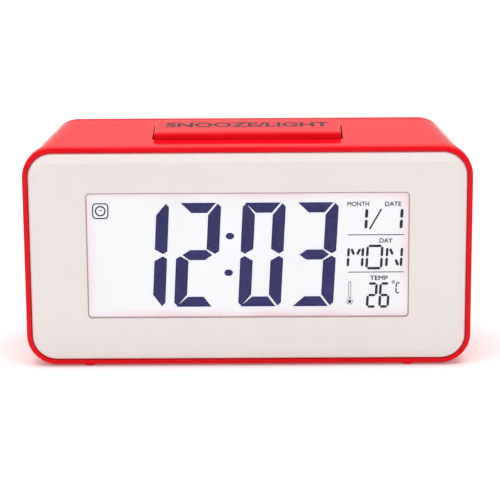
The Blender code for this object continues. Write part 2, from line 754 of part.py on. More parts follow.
def key_places():
    return [(name, KEY_FIRST_X + n * KEY_PITCH) for n, name in enumerate(KEY_NAMES)]


def build_rear_cover(parent):
    spigot_out = WALL + BEZEL_GAP
    spigot_in = spigot_out + SPIGOT_THICK
    spigot_y = PART_LINE_Y - SPIGOT_DEPTH
    round_out, round_mid = rounding(body_outline, COVER_Y, -1, COVER_ROUND)
    sections = [
        body_outline(spigot_in, COVER_INNER_Y),
        body_outline(spigot_in, spigot_y),
        body_outline(spigot_out, spigot_y),
        body_outline(spigot_out, PART_LINE_Y + REST_GAP),
        body_outline(0, PART_LINE_Y + REST_GAP),
        body_outline(0, COVER_Y - COVER_ROUND),
        round_mid,
        round_out,
    ]
    cover = piece("rear_cover", loft(sections), "red_abs", parent)
    places = sides_and_heights()
    inside_y = COVER_INNER_Y + OVERLAP
    boss_y = SCREW_SEAT_Y - SCREW_WELL_FLOOR
    bay = box(
        (-BAY_HALF - BAY_WALL, BAY_FLOOR_Y - BAY_FLOOR, BAY_BOTTOM - BAY_WALL),
        (BAY_HALF + BAY_WALL, inside_y, BAY_TOP + BAY_WALL),
    )
    join(cover, "battery_bay", bay)
    bosses = [rod((x, boss_y, z), "Y", inside_y - boss_y, SCREW_BOSS_RADIUS, SMALL_SIDES) for x, z in places]
    join(cover, "screw_bosses", *bosses)
    ring_radius = SOUNDER_RADIUS + SLIDE_GAP + SOUNDER_RING
    ring_y = COVER_INNER_Y - SOUNDER_RING_HEIGHT
    ring_depth = inside_y - ring_y
    ring = tube((SOUNDER_X, ring_y, SOUNDER_Z), "Y", ring_depth, ring_radius, ring_radius - SOUNDER_RING)
    join(cover, "sounder_ring", ring)
    stake_y = KEY_BOARD_Y - REST_GAP - STAKE_HEAD_HEIGHT
    stake_length = inside_y - KEY_BOARD_BACK_Y - REST_GAP
    stakes = [
        stake(side * STAKE_X, stake_y, KEY_Z, "Y", STAKE_POST_RADIUS, stake_length, BOARD_THICK)
        for side in (-1, 1)
    ]
    join(cover, "key_board_posts", *stakes)
    cut(cover, "bay_cavity", box((-BAY_HALF, BAY_FLOOR_Y, BAY_BOTTOM), (BAY_HALF, COVER_Y + REACH, BAY_TOP)))
    sockets = [
        rod(
            (side * BAY_HALF - PIN_LENGTH - REST_GAP, HINGE_Y, HINGE_Z),
            "X",
            2 * (PIN_LENGTH + REST_GAP),
            PIN_RADIUS + PIN_GAP,
            SMALL_SIDES,
        )
        for side in (-1, 1)
    ]
    cut(cover, "hinge_sockets", *sockets)
    holes = [
        rod((x, COVER_INNER_Y - WALL, KEY_Z), "Y", REACH, KEY_RADIUS + SLIDE_GAP) for _, x in key_places()
    ]
    middle = SLIDER_X + SLIDER_TRAVEL / 2
    half = (KNOB_LENGTH + SLIDER_TRAVEL) / 2 + SLIDE_GAP
    high = KNOB_HEIGHT / 2 + SLIDE_GAP
    slot = box(
        (middle - half, COVER_INNER_Y - WALL, KEY_Z - high),
        (middle + half, COVER_Y + WALL, KEY_Z + high),
    )
    cut(cover, "key_holes", *holes, slot)
    cut(cover, "vents", *vents(SOUNDER_X, SOUNDER_Z), *vents(-SOUNDER_X, SOUNDER_Z))
    deep = SCREW_WELL_DEPTH + REACH
    wells = [rod((x, SCREW_SEAT_Y, z), "Y", deep, SCREW_HEAD_RADIUS + SLIDE_GAP) for x, z in places]
    cut(cover, "screw_wells", *wells)
    through = [
        rod((x, boss_y - REACH, z), "Y", deep, SCREW_SHANK_RADIUS + REST_GAP, SMALL_SIDES)
        for x, z in places
    ]
    cut(cover, "screw_holes", *through)
    return cover


def build_battery_door(parent):
    """Its bottom edge is a round knuckle on the hinge axis, so that it swings inside the opening."""
    gap = SLIDE_GAP
    half = BAY_HALF - gap
    top = BAY_TOP - gap
    meet = math.degrees(math.acos((COVER_INNER_Y - HINGE_Y) / HINGE_IN))
    knuckle = []
    for step in range(SMALL_SIDES + 1):
        angle = math.radians(meet + (360 - meet) * step / SMALL_SIDES)
        knuckle.append((HINGE_Y + HINGE_IN * math.cos(angle), HINGE_Z + HINGE_IN * math.sin(angle)))
    outline = [(COVER_Y, top), (COVER_INNER_Y, top), *knuckle]
    shape = prism(at_x(outline, -half), (2 * half, 0, 0))
    door = piece("battery_door", shape, "red_abs", parent, (0, HINGE_Y, HINGE_Z))
    pins = []
    for side in (-1, 1):
        start = half - OVERLAP if side > 0 else -half - gap - PIN_LENGTH
        length = OVERLAP + gap + PIN_LENGTH
        pins.append(rod((start, HINGE_Y, HINGE_Z), "X", length, PIN_RADIUS, SMALL_SIDES))
    join(door, "hinge_pins", *pins)
    ribs = []
    for n in range(LATCH_RIBS):
        z = top - LATCH_LENGTH / 2 + (n - (LATCH_RIBS - 1) / 2) * LATCH_RIB_PITCH
        reach = LATCH_HALF - 2 * LATCH_SLIT
        low = (-reach, COVER_Y - OVERLAP, z - LATCH_RIB_WIDTH / 2)
        ribs.append(box(low, (reach, COVER_Y + LATCH_RIB_HEIGHT, z + LATCH_RIB_WIDTH / 2)))
    join(door, "latch_ribs", *ribs)
    slits = [
        box(
            (side * LATCH_HALF - LATCH_SLIT / 2, COVER_INNER_Y - REACH, top - LATCH_LENGTH),
            (side * LATCH_HALF + LATCH_SLIT / 2, COVER_Y + REACH, top + REACH),
        )
        for side in (-1, 1)
    ]
    cut(door, "latch_slits", *slits)
    return door


def build_case_screws(parent):
    for n, (x, z) in enumerate(sides_and_heights(), 1):
        seat = SCREW_SEAT_Y + REST_GAP
        length = SCREW_LENGTH + SCREW_WELL_FLOOR
        bevel = SCREW_HEAD_HEIGHT / 3
        profile = [
            (0, 0),
            (SCREW_SHANK_RADIUS / 3, 0),
            (SCREW_SHANK_RADIUS, SCREW_SHANK_RADIUS),
            (SCREW_SHANK_RADIUS, length),
            (SCREW_HEAD_RADIUS, length),
            (SCREW_HEAD_RADIUS, length + SCREW_HEAD_HEIGHT - bevel),
            (SCREW_HEAD_RADIUS - bevel, length + SCREW_HEAD_HEIGHT),
            (0, length + SCREW_HEAD_HEIGHT),
        ]
        shape = turned(profile, (x, seat - length, z), "Y", SMALL_SIDES)
        screw = piece(f"case_screw_{n}", shape, "plated_steel", parent, (x, seat, z))
        cut_cross(screw, (x, seat + SCREW_HEAD_HEIGHT, z))


def cut_cross(screw, tip):
    """A cross-head recess into a head that faces +Y."""
    x, y, z = tip
    long, short = CROSS_SLOT_LENGTH / 2, CROSS_SLOT_WIDTH / 2
    for label, across, high in (("level_slot", long, short), ("upright_slot", short, long)):
        low = (x - across, y - CROSS_SLOT_DEPTH, z - high)
        cut(screw, label, box(low, (x + across, y + REACH, z + high)))


# ---------------------------------------------------------------- battery cells and contacts
def build_cells(parent):
    for n, z in enumerate(CELL_Z):
        nub = -1 if n % 2 else 1
        body = CELL_LENGTH - CELL_NUB_LENGTH
        profile = [
            (0, 0),
            (CELL_RADIUS, 0),
            (CELL_RADIUS, body),
            (CELL_NUB_RADIUS, body),
            (CELL_NUB_RADIUS, CELL_LENGTH),
            (0, CELL_LENGTH),
        ]
        if nub < 0:
            profile = [(radius, CELL_LENGTH - height) for radius, height in reversed(profile)]
        shape = turned(profile, (-CELL_LENGTH / 2, CELL_Y, z), "X")
        piece(f"battery_cell_{n + 1}", shape, "cell_sleeve", parent)


def contact_plate(side, low_cell, high_cell):
    """A plate at one end of the bay, behind one cell or two."""
    wall = BAY_HALF - REST_GAP
    inner = wall - CONTACT_THICK
    low = CELL_Z[low_cell] - CONTACT_WIDTH / 2
    high = CELL_Z[high_cell] + CONTACT_WIDTH / 2
    x = sorted((side * inner, side * wall))
    return box((x[0], CELL_Y - CONTACT_WIDTH / 2, low), (x[1], CELL_Y + CONTACT_WIDTH / 2, high))


def contact_spring(side, cell):
    """A coil between the plate and a cell's flat end."""
    room = BAY_HALF - REST_GAP - CONTACT_THICK - CELL_LENGTH / 2 - REST_GAP
    length = room + SPRING_WIRE
    start = CELL_LENGTH / 2 + REST_GAP if side > 0 else -CELL_LENGTH / 2 - REST_GAP - length
    return helix((start, CELL_Y, CELL_Z[cell]), "X", length, SPRING_RADIUS, SPRING_WIRE, SPRING_TURNS)


def contact_bump(side, cell):
    """A raised button that a cell's nub presses on."""
    inner = BAY_HALF - REST_GAP - CONTACT_THICK
    length = inner - CELL_LENGTH / 2 - REST_GAP + CONTACT_THICK / 2
    start = CELL_LENGTH / 2 + REST_GAP if side > 0 else -CELL_LENGTH / 2 - REST_GAP - length
    return rod((start, CELL_Y, CELL_Z[cell]), "X", length, CELL_NUB_RADIUS, SMALL_SIDES)


def build_contacts(parent):
    """Three cells in series: a bump meets each nub and a spring each flat end."""
    layout = (
        ("positive_contact", 1, (2,), (2,), ()),
        ("bridge_contact_right", 1, (0, 1), (0,), (1,)),
        ("negative_contact", -1, (0,), (), (0,)),
        ("bridge_contact_left", -1, (1, 2), (1,), (2,)),
    )
    for name, side, cells, bumps, springs in layout:
        plate = piece(name, contact_plate(side, cells[0], cells[-1]), "plated_steel", parent)
        for cell in bumps:
            join(plate, "bump", contact_bump(side, cell))
        for cell in springs:
            join(plate, "spring", contact_spring(side, cell))


# ---------------------------------------------------------------- bezel and display stack
def window_outline(grow, y):
    half, high = WINDOW_WIDTH / 2 + grow, WINDOW_HEIGHT / 2 + grow
    radius = max(WINDOW_RADIUS + min(grow, 0), MIN_RADIUS)
    return at_y(rounded(-half, half, WINDOW_Z - high, WINDOW_Z + high, radius), y)


def board_posts():
    """The four places where the bezel holds the tray and board, as (x, z, has a screw)."""
    return [
        (side * BOARD_POST_X, WINDOW_Z + rise * BOARD_POST_RISE, side * rise > 0)
        for rise in (-1, 1)
        for side in (-1, 1)
    ]


def build_front_bezel(parent):
    back_y = FRONT_Y + BEZEL_WALL
    skirt_y = SEAT_Y - REST_GAP
    sections = [
        window_outline(0, FRONT_Y),
        flange_outline(RIM + BEVEL_WIDTH, FRONT_Y),
        flange_outline(RIM + BEVEL_WIDTH / 6, FRONT_Y + BEVEL_DEPTH * 5 / 6),
        flange_outline(RIM, FRONT_Y + BEVEL_DEPTH + BEVEL_WIDTH / 6),
        flange_outline(RIM, skirt_y),
        flange_outline(RIM + BEZEL_SKIRT, skirt_y),
        flange_outline(RIM + BEZEL_SKIRT, back_y + BEVEL_DEPTH),
        flange_outline(RIM + BEVEL_WIDTH + BEZEL_SKIRT / 2, back_y),
        window_outline(PANEL_MARGIN + REST_GAP, back_y),
        window_outline(PANEL_MARGIN + REST_GAP, FRONT_Y + WINDOW_LIP),
        window_outline(0, FRONT_Y + WINDOW_LIP),
    ]
    bezel = piece("front_bezel", loft(sections, ring=True), "white_abs", parent)
    start = back_y - OVERLAP
    end = TRAY_FLOOR_Y - REST_GAP
    posts, pins, heads, pilots = [], [], [], []
    for x, z, screwed in board_posts():
        posts.append(rod((x, start, z), "Y", end - start, BOARD_POST_RADIUS, SMALL_SIDES))
        if screwed:
            pilot_radius = BOARD_SCREW_RADIUS + REST_GAP
            pilots.append(rod((x, start + BEZEL_WALL, z), "Y", end - start, pilot_radius, SMALL_SIDES))
        else:
            head_y = BOARD_BACK_Y + REST_GAP
            profile = [
                (0, 0),
                (BOARD_SCREW_RADIUS, 0),
                (BOARD_SCREW_RADIUS, head_y - end + OVERLAP),
                (STAKE_HEAD_RADIUS, head_y - end + OVERLAP),
                (STAKE_HEAD_RADIUS, head_y - end + OVERLAP + STAKE_HEAD_HEIGHT),
                (0, head_y - end + OVERLAP + STAKE_HEAD_HEIGHT),
            ]
            pins.append(turned(profile, (x, end - OVERLAP, z), "Y", SMALL_SIDES))
    join(bezel, "board_posts", *posts)
    join(bezel, "board_pins", *pins)
    cut(bezel, "board_pilots", *pilots)
    return bezel


def pane(name, y, thick, finish, parent, bottom=PANE_BOTTOM, half=PANE_HALF):
    return piece(name, box((-half, y, bottom), (half, y + thick, PANE_TOP)), finish, parent)


def build_display(parent):
    lens = prism(window_outline(PANEL_MARGIN, LENS_Y), (0, LENS_THICK, 0))
    piece("display_lens", lens, "clear_acrylic", parent)
    film_half = WINDOW_WIDTH / 2 + PANEL_MARGIN / 2
    pane("front_polariser", FRONT_FILM_Y, FILM_THICK, "polariser", parent, half=film_half)
    pane("lcd_front_glass", FRONT_GLASS_Y, GLASS_THICK, "display_glass", parent, FRONT_GLASS_BOTTOM)
    pane("lcd_rear_glass", REAR_GLASS_Y, GLASS_THICK, "display_glass", parent)
    pane("rear_polariser", REAR_FILM_Y, FILM_THICK, "polariser", parent, half=film_half)
    pane("light_guide", GUIDE_Y, GUIDE_THICK, "light_guide", parent)
    pane("reflector_sheet", REFLECTOR_Y, REFLECTOR_THICK, "white_film", parent)
    for name, side in (("left", -1), ("right", 1)):
        x = sorted((side * (PANE_HALF + PANE_GAP), side * (PANE_HALF + PANE_GAP + LED_THICK)))
        low = (x[0], GUIDE_Y + REST_GAP, WINDOW_Z - LED_HEIGHT / 2)
        high = (x[1], GUIDE_Y + GUIDE_THICK - REST_GAP, WINDOW_Z + LED_HEIGHT / 2)
        piece(f"backlight_led_{name}", box(low, high), "led_white", parent)
    strip_low = (-PANE_HALF + STRIP_INSET, REAR_GLASS_Y, FRONT_GLASS_BOTTOM + REST_GAP)
    strip_high = (PANE_HALF - STRIP_INSET, BOARD_Y - PANE_GAP, FRONT_GLASS_BOTTOM + REST_GAP + STRIP_THICK)
    piece("zebra_strip", box(strip_low, strip_high), "silicone_rubber", parent)


def build_tray(parent):
    """The moulded frame that squares up the panes and clamps them to the bezel."""
    front_y = FRONT_FILM_Y
    half = TRAY_INNER_HALF + TRAY_WALL
    low, high = TRAY_INNER_BOTTOM - TRAY_WALL, TRAY_INNER_TOP + TRAY_WALL
    shape = box((-half, front_y, low), (half, TRAY_BACK_Y, high))
    tray = piece("display_tray", shape, "tray_abs", parent)
    ears = []
    for x, z, _ in board_posts():
        reach = sorted((math.copysign(half - TRAY_WALL / 2, x), math.copysign(abs(x) + EAR_HALF, x)))
        ears.append(box((reach[0], TRAY_FLOOR_Y, z - EAR_HALF), (reach[1], TRAY_BACK_Y, z + EAR_HALF)))
    join(tray, "ears", *ears)
    pocket = box(
        (-TRAY_INNER_HALF, front_y - REACH, TRAY_INNER_BOTTOM),
        (TRAY_INNER_HALF, TRAY_FLOOR_Y, TRAY_INNER_TOP),
    )
    cut(tray, "pocket", pocket)
    hole_half = PANE_HALF - TRAY_SUPPORT
    strip_half = PANE_HALF - STRIP_INSET + REST_GAP
    main_hole = box(
        (-hole_half, TRAY_FLOOR_Y - REACH, PANE_BOTTOM + TRAY_SUPPORT),
        (hole_half, TRAY_BACK_Y + REACH, PANE_TOP - TRAY_SUPPORT),
    )
    strip_hole = box(
        (-strip_half, TRAY_FLOOR_Y - REACH, FRONT_GLASS_BOTTOM),
        (strip_half, TRAY_BACK_Y + REACH, FRONT_GLASS_BOTTOM + STRIP_THICK + 2 * REST_GAP),
    )
    cut(tray, "windows", main_hole, strip_hole)
    holes = [
        rod((x, TRAY_FLOOR_Y - REACH, z), "Y", 2 * REACH, BOARD_HOLE_RADIUS, SMALL_SIDES)
        for x, z, _ in board_posts()
    ]
    cut(tray, "ear_holes", *holes)
    return tray


# ---------------------------------------------------------------- boards and what is on them
def board(name, low, high, finish, parent, hole_places, axis, hole_radius=BOARD_HOLE_RADIUS):
    """A circuit board with round holes along the axis through it."""
    made = piece(name, box(low, high), finish, parent)
    offset = Vector((0, 0, 0))
    offset["XYZ".index(axis)] = REACH
    drills = [rod(Vector(place) - offset, axis, 2 * REACH, hole_radius, SMALL_SIDES) for place in hole_places]
    cut(made, "holes", *drills)
    return made


def build_main_board(parent):
    half = WIDTH / 2 - BOARD_FROM_SIDE
    low = (-half, BOARD_Y, WINDOW_Z - BOARD_HEIGHT / 2)
    high = (half, BOARD_BACK_Y, WINDOW_Z + BOARD_HEIGHT / 2)
    places = [(x, BOARD_Y, z) for x, z, _ in board_posts()]
    board("main_board", low, high, "board_green", parent, places, "Y")
    top = BOARD_BACK_Y + PANE_GAP
    dome = [(0, 0), (CHIP_RADIUS, 0)]
    for step in range(1, CORNER_STEPS):
        angle = math.pi / 2 * step / CORNER_STEPS
        dome.append((CHIP_RADIUS * math.cos(angle), CHIP_HEIGHT * math.sin(angle)))
    dome.append((0, CHIP_HEIGHT))
    piece("chip_blob", turned(dome, (CHIP_X, top, WINDOW_Z), "Y"), "black_epoxy", parent)
    where = (CRYSTAL_X, top + CRYSTAL_RADIUS, WINDOW_Z - PART_RISE)
    can = rod(where, "X", CRYSTAL_LENGTH, CRYSTAL_RADIUS, SMALL_SIDES)
    piece("quartz_crystal", can, "tinned_steel", parent)
    where = (CAPACITOR_X, top, WINDOW_Z + PART_RISE)
    capacitor = bevelled_rod(where, "Y", CAPACITOR_HEIGHT, CAPACITOR_RADIUS, CAPACITOR_BEVEL)
    piece("smoothing_capacitor", capacitor, "lead_black", parent)
    screwed = [(x, z) for x, z, has_screw in board_posts() if has_screw]
    for n, (x, z) in enumerate(screwed, 1):
        seat = BOARD_BACK_Y + PANE_GAP
        profile = [
            (0, 0),
            (BOARD_SCREW_RADIUS, BOARD_SCREW_RADIUS),
            (BOARD_SCREW_RADIUS, BOARD_SCREW_LENGTH),
            (BOARD_SCREW_HEAD, BOARD_SCREW_LENGTH),
            (BOARD_SCREW_HEAD, BOARD_SCREW_LENGTH + BOARD_SCREW_HEAD_HEIGHT),
            (0, BOARD_SCREW_LENGTH + BOARD_SCREW_HEAD_HEIGHT),
        ]
        shape = turned(profile, (x, seat - BOARD_SCREW_LENGTH, z), "Y", SMALL_SIDES)
        piece(f"board_screw_{n}", shape, "plated_steel", parent)


def tact_switch(name, parent, base, axis):
    """A square switch body with a round well for its plunger, standing on base along the axis."""
    half = SWITCH_SIDE / 2
    x, y, z = base
    if axis == "Y":
        shape = box((x - half, y, z - half), (x + half, y + SWITCH_HEIGHT, z + half))
        well = (x, y + SWITCH_HEIGHT - SWITCH_WELL_DEPTH, z)
    else:
        shape = box((x - half, y - half, z), (x + half, y + half, z + SWITCH_HEIGHT))
        well = (x, y, z + SWITCH_HEIGHT - SWITCH_WELL_DEPTH)
    made = piece(name, shape, "black_nylon", parent)
    cut(made, "well", rod(well, axis, REACH, PLUNGER_RADIUS + REST_GAP, SMALL_SIDES))
    return made


def build_keys(parent):
    low = (-KEY_BOARD_HALF, KEY_BOARD_Y, KEY_Z - KEY_BOARD_HEIGHT / 2)
    high = (KEY_BOARD_HALF, KEY_BOARD_BACK_Y, KEY_Z + KEY_BOARD_HEIGHT / 2)
    places = [(side * STAKE_X, KEY_BOARD_Y, KEY_Z) for side in (-1, 1)]
    board("key_board", low, high, "board_brown", parent, places, "Y")
    cap_length = COVER_Y + BUTTON_PROUD - KEY_INNER_Y
    for name, x in key_places():
        profile = [
            (0, 0),
            (KEY_FLANGE_RADIUS, 0),
            (KEY_FLANGE_RADIUS, KEY_FLANGE_THICK),
            (KEY_RADIUS, KEY_FLANGE_THICK),
            (KEY_RADIUS, cap_length - KEY_BEVEL),
            (KEY_RADIUS - KEY_BEVEL, cap_length),
            (0, cap_length),
        ]
        where = (x, KEY_INNER_Y, KEY_Z)
        piece(f"{name}_button", turned(profile, where, "Y"), "white_abs", parent, where)
        tact_switch(f"{name}_switch", parent, (x, KEY_BOARD_BACK_Y + PANE_GAP, KEY_Z), "Y")
        tip = (x, PLUNGER_TIP_Y - PLUNGER_LENGTH, KEY_Z)
        plunger = rod(tip, "Y", PLUNGER_LENGTH, PLUNGER_RADIUS, SMALL_SIDES)
        piece(f"{name}_plunger", plunger, "silicone_rubber", parent, tip)


def build_slide_switch(parent):
    middle = SLIDER_X + SLIDER_TRAVEL / 2
    start_y = KEY_BOARD_BACK_Y + PANE_GAP
    top_y = start_y + CAN_HEIGHT
    low = (middle - CAN_LENGTH / 2, start_y, KEY_Z - CAN_WIDTH / 2)
    high = (middle + CAN_LENGTH / 2, top_y, KEY_Z + CAN_WIDTH / 2)
    can = piece("light_switch_body", box(low, high), "tinned_steel", parent)
    half = (KNOB_LENGTH + SLIDER_TRAVEL) / 2 + SLIDE_GAP
    high_half = KNOB_HEIGHT / 2 + SLIDE_GAP
    well_y = top_y - SWITCH_WELL_DEPTH
    well = box((middle - half, well_y, KEY_Z - high_half), (middle + half, top_y + REACH, KEY_Z + high_half))
    cut(can, "track", well)
    knob_low = (SLIDER_X - KNOB_LENGTH / 2, well_y + REST_GAP, KEY_Z - KNOB_HEIGHT / 2)
    knob_high = (SLIDER_X + KNOB_LENGTH / 2, COVER_Y + KNOB_PROUD, KEY_Z + KNOB_HEIGHT / 2)
    where = (SLIDER_X, COVER_Y, KEY_Z)
    piece("light_switch_slider", box(knob_low, knob_high), "black_nylon", parent, where)


def build_sounder(parent):
    """A thin brass disc with a smaller ceramic disc on it, glued in its ring."""
    y = COVER_INNER_Y - REST_GAP - SOUNDER_THICK
    ceramic = SOUNDER_RADIUS * SOUNDER_CERAMIC
    profile = [
        (0, -SOUNDER_THICK / 2),
        (ceramic, -SOUNDER_THICK / 2),
        (ceramic, 0),
        (SOUNDER_RADIUS, 0),
        (SOUNDER_RADIUS, SOUNDER_THICK),
        (0, SOUNDER_THICK),
    ]
    piece("piezo_sounder", turned(profile, (SOUNDER_X, y, SOUNDER_Z), "Y"), "brass", parent)


def build_thermistor(parent):
    """A bead behind the vents, on two leads from the key board's lower edge."""
    x = -KEY_BOARD_HALF + BEAD_LEAD_PITCH
    y = (KEY_BOARD_Y + KEY_BOARD_BACK_Y) / 2
    z = SOUNDER_Z + VENT_PITCH
    profile = [
        (BEAD_RADIUS * math.sin(turn), -BEAD_RADIUS * math.cos(turn))
        for turn in (math.pi * step / CORNER_STEPS for step in range(CORNER_STEPS + 1))
    ]
    profile[0], profile[-1] = (0, profile[0][1]), (0, profile[-1][1])
    bead = piece("thermistor", turned(profile, (x, y, z), "Z", SMALL_SIDES), "black_epoxy", parent)
    length = KEY_Z - KEY_BOARD_HEIGHT / 2 - REST_GAP - z
    leads = [
        rod((x + side * BEAD_LEAD_PITCH / 2, y, z), "Z", length, BEAD_LEAD_RADIUS, SMALL_SIDES)
        for side in (-1, 1)
    ]
    join(bead, "leads", *leads)


# ---------------------------------------------------------------- snooze bar
def build_snooze_bar(parent):
    rim = sloped(bar_outline(-BAR_DRAFT, 0), BAR_PROUD - BAR_BEVEL)
    crown = sloped(bar_outline(-BAR_DRAFT - BAR_BEVEL, 0), BAR_PROUD)
    shape = loft([bar_outline(0, BAR_FLANGE_BOTTOM), bar_outline(0, body_top(BAR_BACK) - WALL), rim, crown])
    where = (0, BAR_Y, BAR_FLANGE_BOTTOM)
    bar = piece("snooze_bar", shape, "red_abs", parent, where)
    flange = prism(bar_outline(BAR_FLANGE, BAR_FLANGE_BOTTOM), (0, 0, BAR_FLANGE_THICK))
    join(bar, "flange", flange)
    floor = BAR_FLANGE_BOTTOM - REACH
    hollow = loft([bar_outline(-BAR_WALL, floor), sloped(bar_outline(-BAR_WALL, 0), BAR_PROUD - BAR_WALL)])
    cut(bar, "hollow", hollow)
    ceiling = body_top(BAR_Y) + BAR_PROUD - BAR_WALL / 2
    rib = rod((0, BAR_Y, BAR_RIB_BOTTOM), "Z", ceiling - BAR_RIB_BOTTOM, PLUNGER_RADIUS, SMALL_SIDES)
    seats = []
    for side in (-1, 1):
        pin_bottom = BAR_SPRING_TOP - BAR_PIN_DROP
        profile = [
            (0, 0),
            (BAR_PIN_RADIUS, 0),
            (BAR_PIN_RADIUS, BAR_PIN_DROP),
            (BAR_SPRING_SEAT, BAR_PIN_DROP),
            (BAR_SPRING_SEAT, ceiling - pin_bottom),
            (0, ceiling - pin_bottom),
        ]
        seats.append(turned(profile, (side * SPRING_X, BAR_Y, pin_bottom), "Z", SMALL_SIDES))
    join(bar, "rib_and_seats", rib, *seats)
    return bar


def build_snooze_switch(parent):
    half = SNOOZE_POST_X + SNOOZE_BOARD_OVERHANG
    low = (-half, BAR_Y - SNOOZE_BOARD_WIDTH / 2, SNOOZE_BOARD_TOP - SNOOZE_BOARD_THICK)
    high = (half, BAR_Y + SNOOZE_BOARD_WIDTH / 2, SNOOZE_BOARD_TOP)
    places = [(side * SNOOZE_POST_X, BAR_Y, SNOOZE_BOARD_TOP) for side in (-1, 1)]
    board("snooze_board", low, high, "board_brown", parent, places, "Z")
    tact_switch("snooze_switch", parent, (0, BAR_Y, SNOOZE_BOARD_TOP + PANE_GAP), "Z")
    tip = (0, BAR_Y, SNOOZE_PLUNGER_BOTTOM)
    plunger = rod(tip, "Z", PLUNGER_LENGTH, PLUNGER_RADIUS, SMALL_SIDES)
    piece("snooze_plunger", plunger, "silicone_rubber", parent, tip)
    length = BAR_SPRING_TOP - REST_GAP - SNOOZE_BOARD_TOP - REST_GAP
    for name, side in (("left", -1), ("right", 1)):
        foot = (side * SPRING_X, BAR_Y, SNOOZE_BOARD_TOP + REST_GAP)
        coil = helix(foot, "Z", length, BAR_SPRING_RADIUS, SPRING_WIRE, BAR_SPRING_TURNS)
        piece(f"snooze_spring_{name}", coil, "plated_steel", parent, foot)


# ---------------------------------------------------------------- wiring
def build_wiring(parent):
    """Leads and cables from the bay, keys and snooze board to the main board's back."""
    board_y = BOARD_BACK_Y + 2 * REST_GAP
    bay_x = BAY_HALF + BAY_WALL + REST_GAP + LEAD_RADIUS
    mid_y = (BOARD_BACK_Y + BAY_FLOOR_Y) / 2
    for name, side, cell in (("red", 1, 2), ("black", -1, 0)):
        z = CELL_Z[cell]
        route = [
            (side * bay_x, CELL_Y + CONTACT_WIDTH / 2, z),
            (side * bay_x, CELL_Y, z),
            (side * bay_x, BAY_FLOOR_Y - BAY_FLOOR, z),
            (side * (bay_x - BAY_WALL), mid_y, z + BAY_WALL),
            (side * (bay_x - 2 * BAY_WALL), board_y + 3 * BAY_WALL, z),
            (side * (bay_x - 2 * BAY_WALL), board_y, z),
        ]
        wire(f"battery_lead_{name}", route, LEAD_RADIUS, f"lead_{name}", parent)
    snooze_x = BAR_LENGTH / 2 - RIBBON_WIDTH
    snooze_z = SNOOZE_BOARD_TOP - SNOOZE_BOARD_THICK - REST_GAP
    route = [
        (snooze_x, BAR_Y, snooze_z),
        (snooze_x, BAR_Y, snooze_z - 3 * BAY_WALL),
        (snooze_x, mid_y, snooze_z - 5 * BAY_WALL),
        (snooze_x, board_y + 2 * BAY_WALL, snooze_z - 6 * BAY_WALL),
        (snooze_x, board_y, snooze_z - 6 * BAY_WALL),
    ]
    wire("snooze_cable", route, CABLE_RADIUS, "ribbon_grey", parent)
    build_key_ribbon(parent, board_y)


def build_key_ribbon(parent, board_y):
    """A flat cable that hangs in a shallow bow between the key board and the main board."""
    start = Vector((0, KEY_BOARD_Y - 2 * REST_GAP, KEY_Z))
    end = Vector((0, board_y, WINDOW_Z))
    middle = (start + end) / 2 - Vector((0, 0, BAY_WALL))
    level = Vector((0, RIBBON_WIDTH / 2, 0))
    route = smooth_route([start, start - level / 2, middle, end + level / 2, end])
    upper, lower = [], []
    for n, point in enumerate(route):
        ahead, behind = route[min(n + 1, len(route) - 1)], route[max(n - 1, 0)]
        run = (ahead - behind).normalized()
        side = Vector((0, -run.z, run.y)) * RIBBON_THICK / 2
        upper.append(point + side)
        lower.append(point - side)
    x = -2 * RIBBON_WIDTH
    outline = [(x, point.y, point.z) for point in [*upper, *reversed(lower)]]
    piece("key_ribbon", prism(outline, (RIBBON_WIDTH, 0, 0)), "ribbon_grey", parent)


# ---------------------------------------------------------------- assembly
for leftover in list(bpy.data.objects):
    bpy.data.objects.remove(leftover)
MATERIALS = {name: make_material(name) for name in FINISHES}
HELPERS = group("helpers")

clock = group("alarm_clock")
case = group("case", clock)
build_case_shell(case)
build_rear_cover(case)
build_case_screws(case)
display = group("display", clock)
build_front_bezel(display)
build_display(display)
build_tray(display)
build_main_board(display)
battery = group("battery", clock)
build_battery_door(battery)
build_cells(battery)
build_contacts(battery)
rear_keys = group("rear_keys", clock)
build_keys(rear_keys)
build_slide_switch(rear_keys)
build_sounder(rear_keys)
build_thermistor(rear_keys)
snooze = group("snooze", clock)
build_snooze_bar(snooze)
build_snooze_switch(snooze)
build_wiring(group("wiring", clock))
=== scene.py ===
"""Looks for the desk alarm clock.

Fine shells, display artwork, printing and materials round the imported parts. Frame: metres, +Z up. The display
faces -Y, and the origin lies on the table under the clock's middle.
"""

import logging
import math
from dataclasses import dataclass, field
from enum import Enum
from typing import Any, Callable, Iterable, Sequence

import bmesh
import bpy
from mathutils import Matrix, Vector


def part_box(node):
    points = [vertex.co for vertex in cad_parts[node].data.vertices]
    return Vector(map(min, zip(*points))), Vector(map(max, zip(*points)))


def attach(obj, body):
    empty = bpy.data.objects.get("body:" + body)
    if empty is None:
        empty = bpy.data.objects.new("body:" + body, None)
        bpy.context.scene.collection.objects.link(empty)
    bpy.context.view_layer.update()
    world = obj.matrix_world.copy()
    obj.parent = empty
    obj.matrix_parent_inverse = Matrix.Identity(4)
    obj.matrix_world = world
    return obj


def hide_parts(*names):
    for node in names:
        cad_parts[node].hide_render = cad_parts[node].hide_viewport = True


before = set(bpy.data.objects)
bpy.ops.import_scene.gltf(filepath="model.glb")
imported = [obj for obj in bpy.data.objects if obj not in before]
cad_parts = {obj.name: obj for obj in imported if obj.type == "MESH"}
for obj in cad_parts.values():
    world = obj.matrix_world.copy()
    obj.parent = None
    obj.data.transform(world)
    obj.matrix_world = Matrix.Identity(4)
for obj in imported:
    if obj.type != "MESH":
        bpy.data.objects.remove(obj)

MM = 0.001
CASE = "case"  # the body that everything fixed rides on
SHARP_ANGLE = math.radians(20)  # edges sharper than this shade as corners
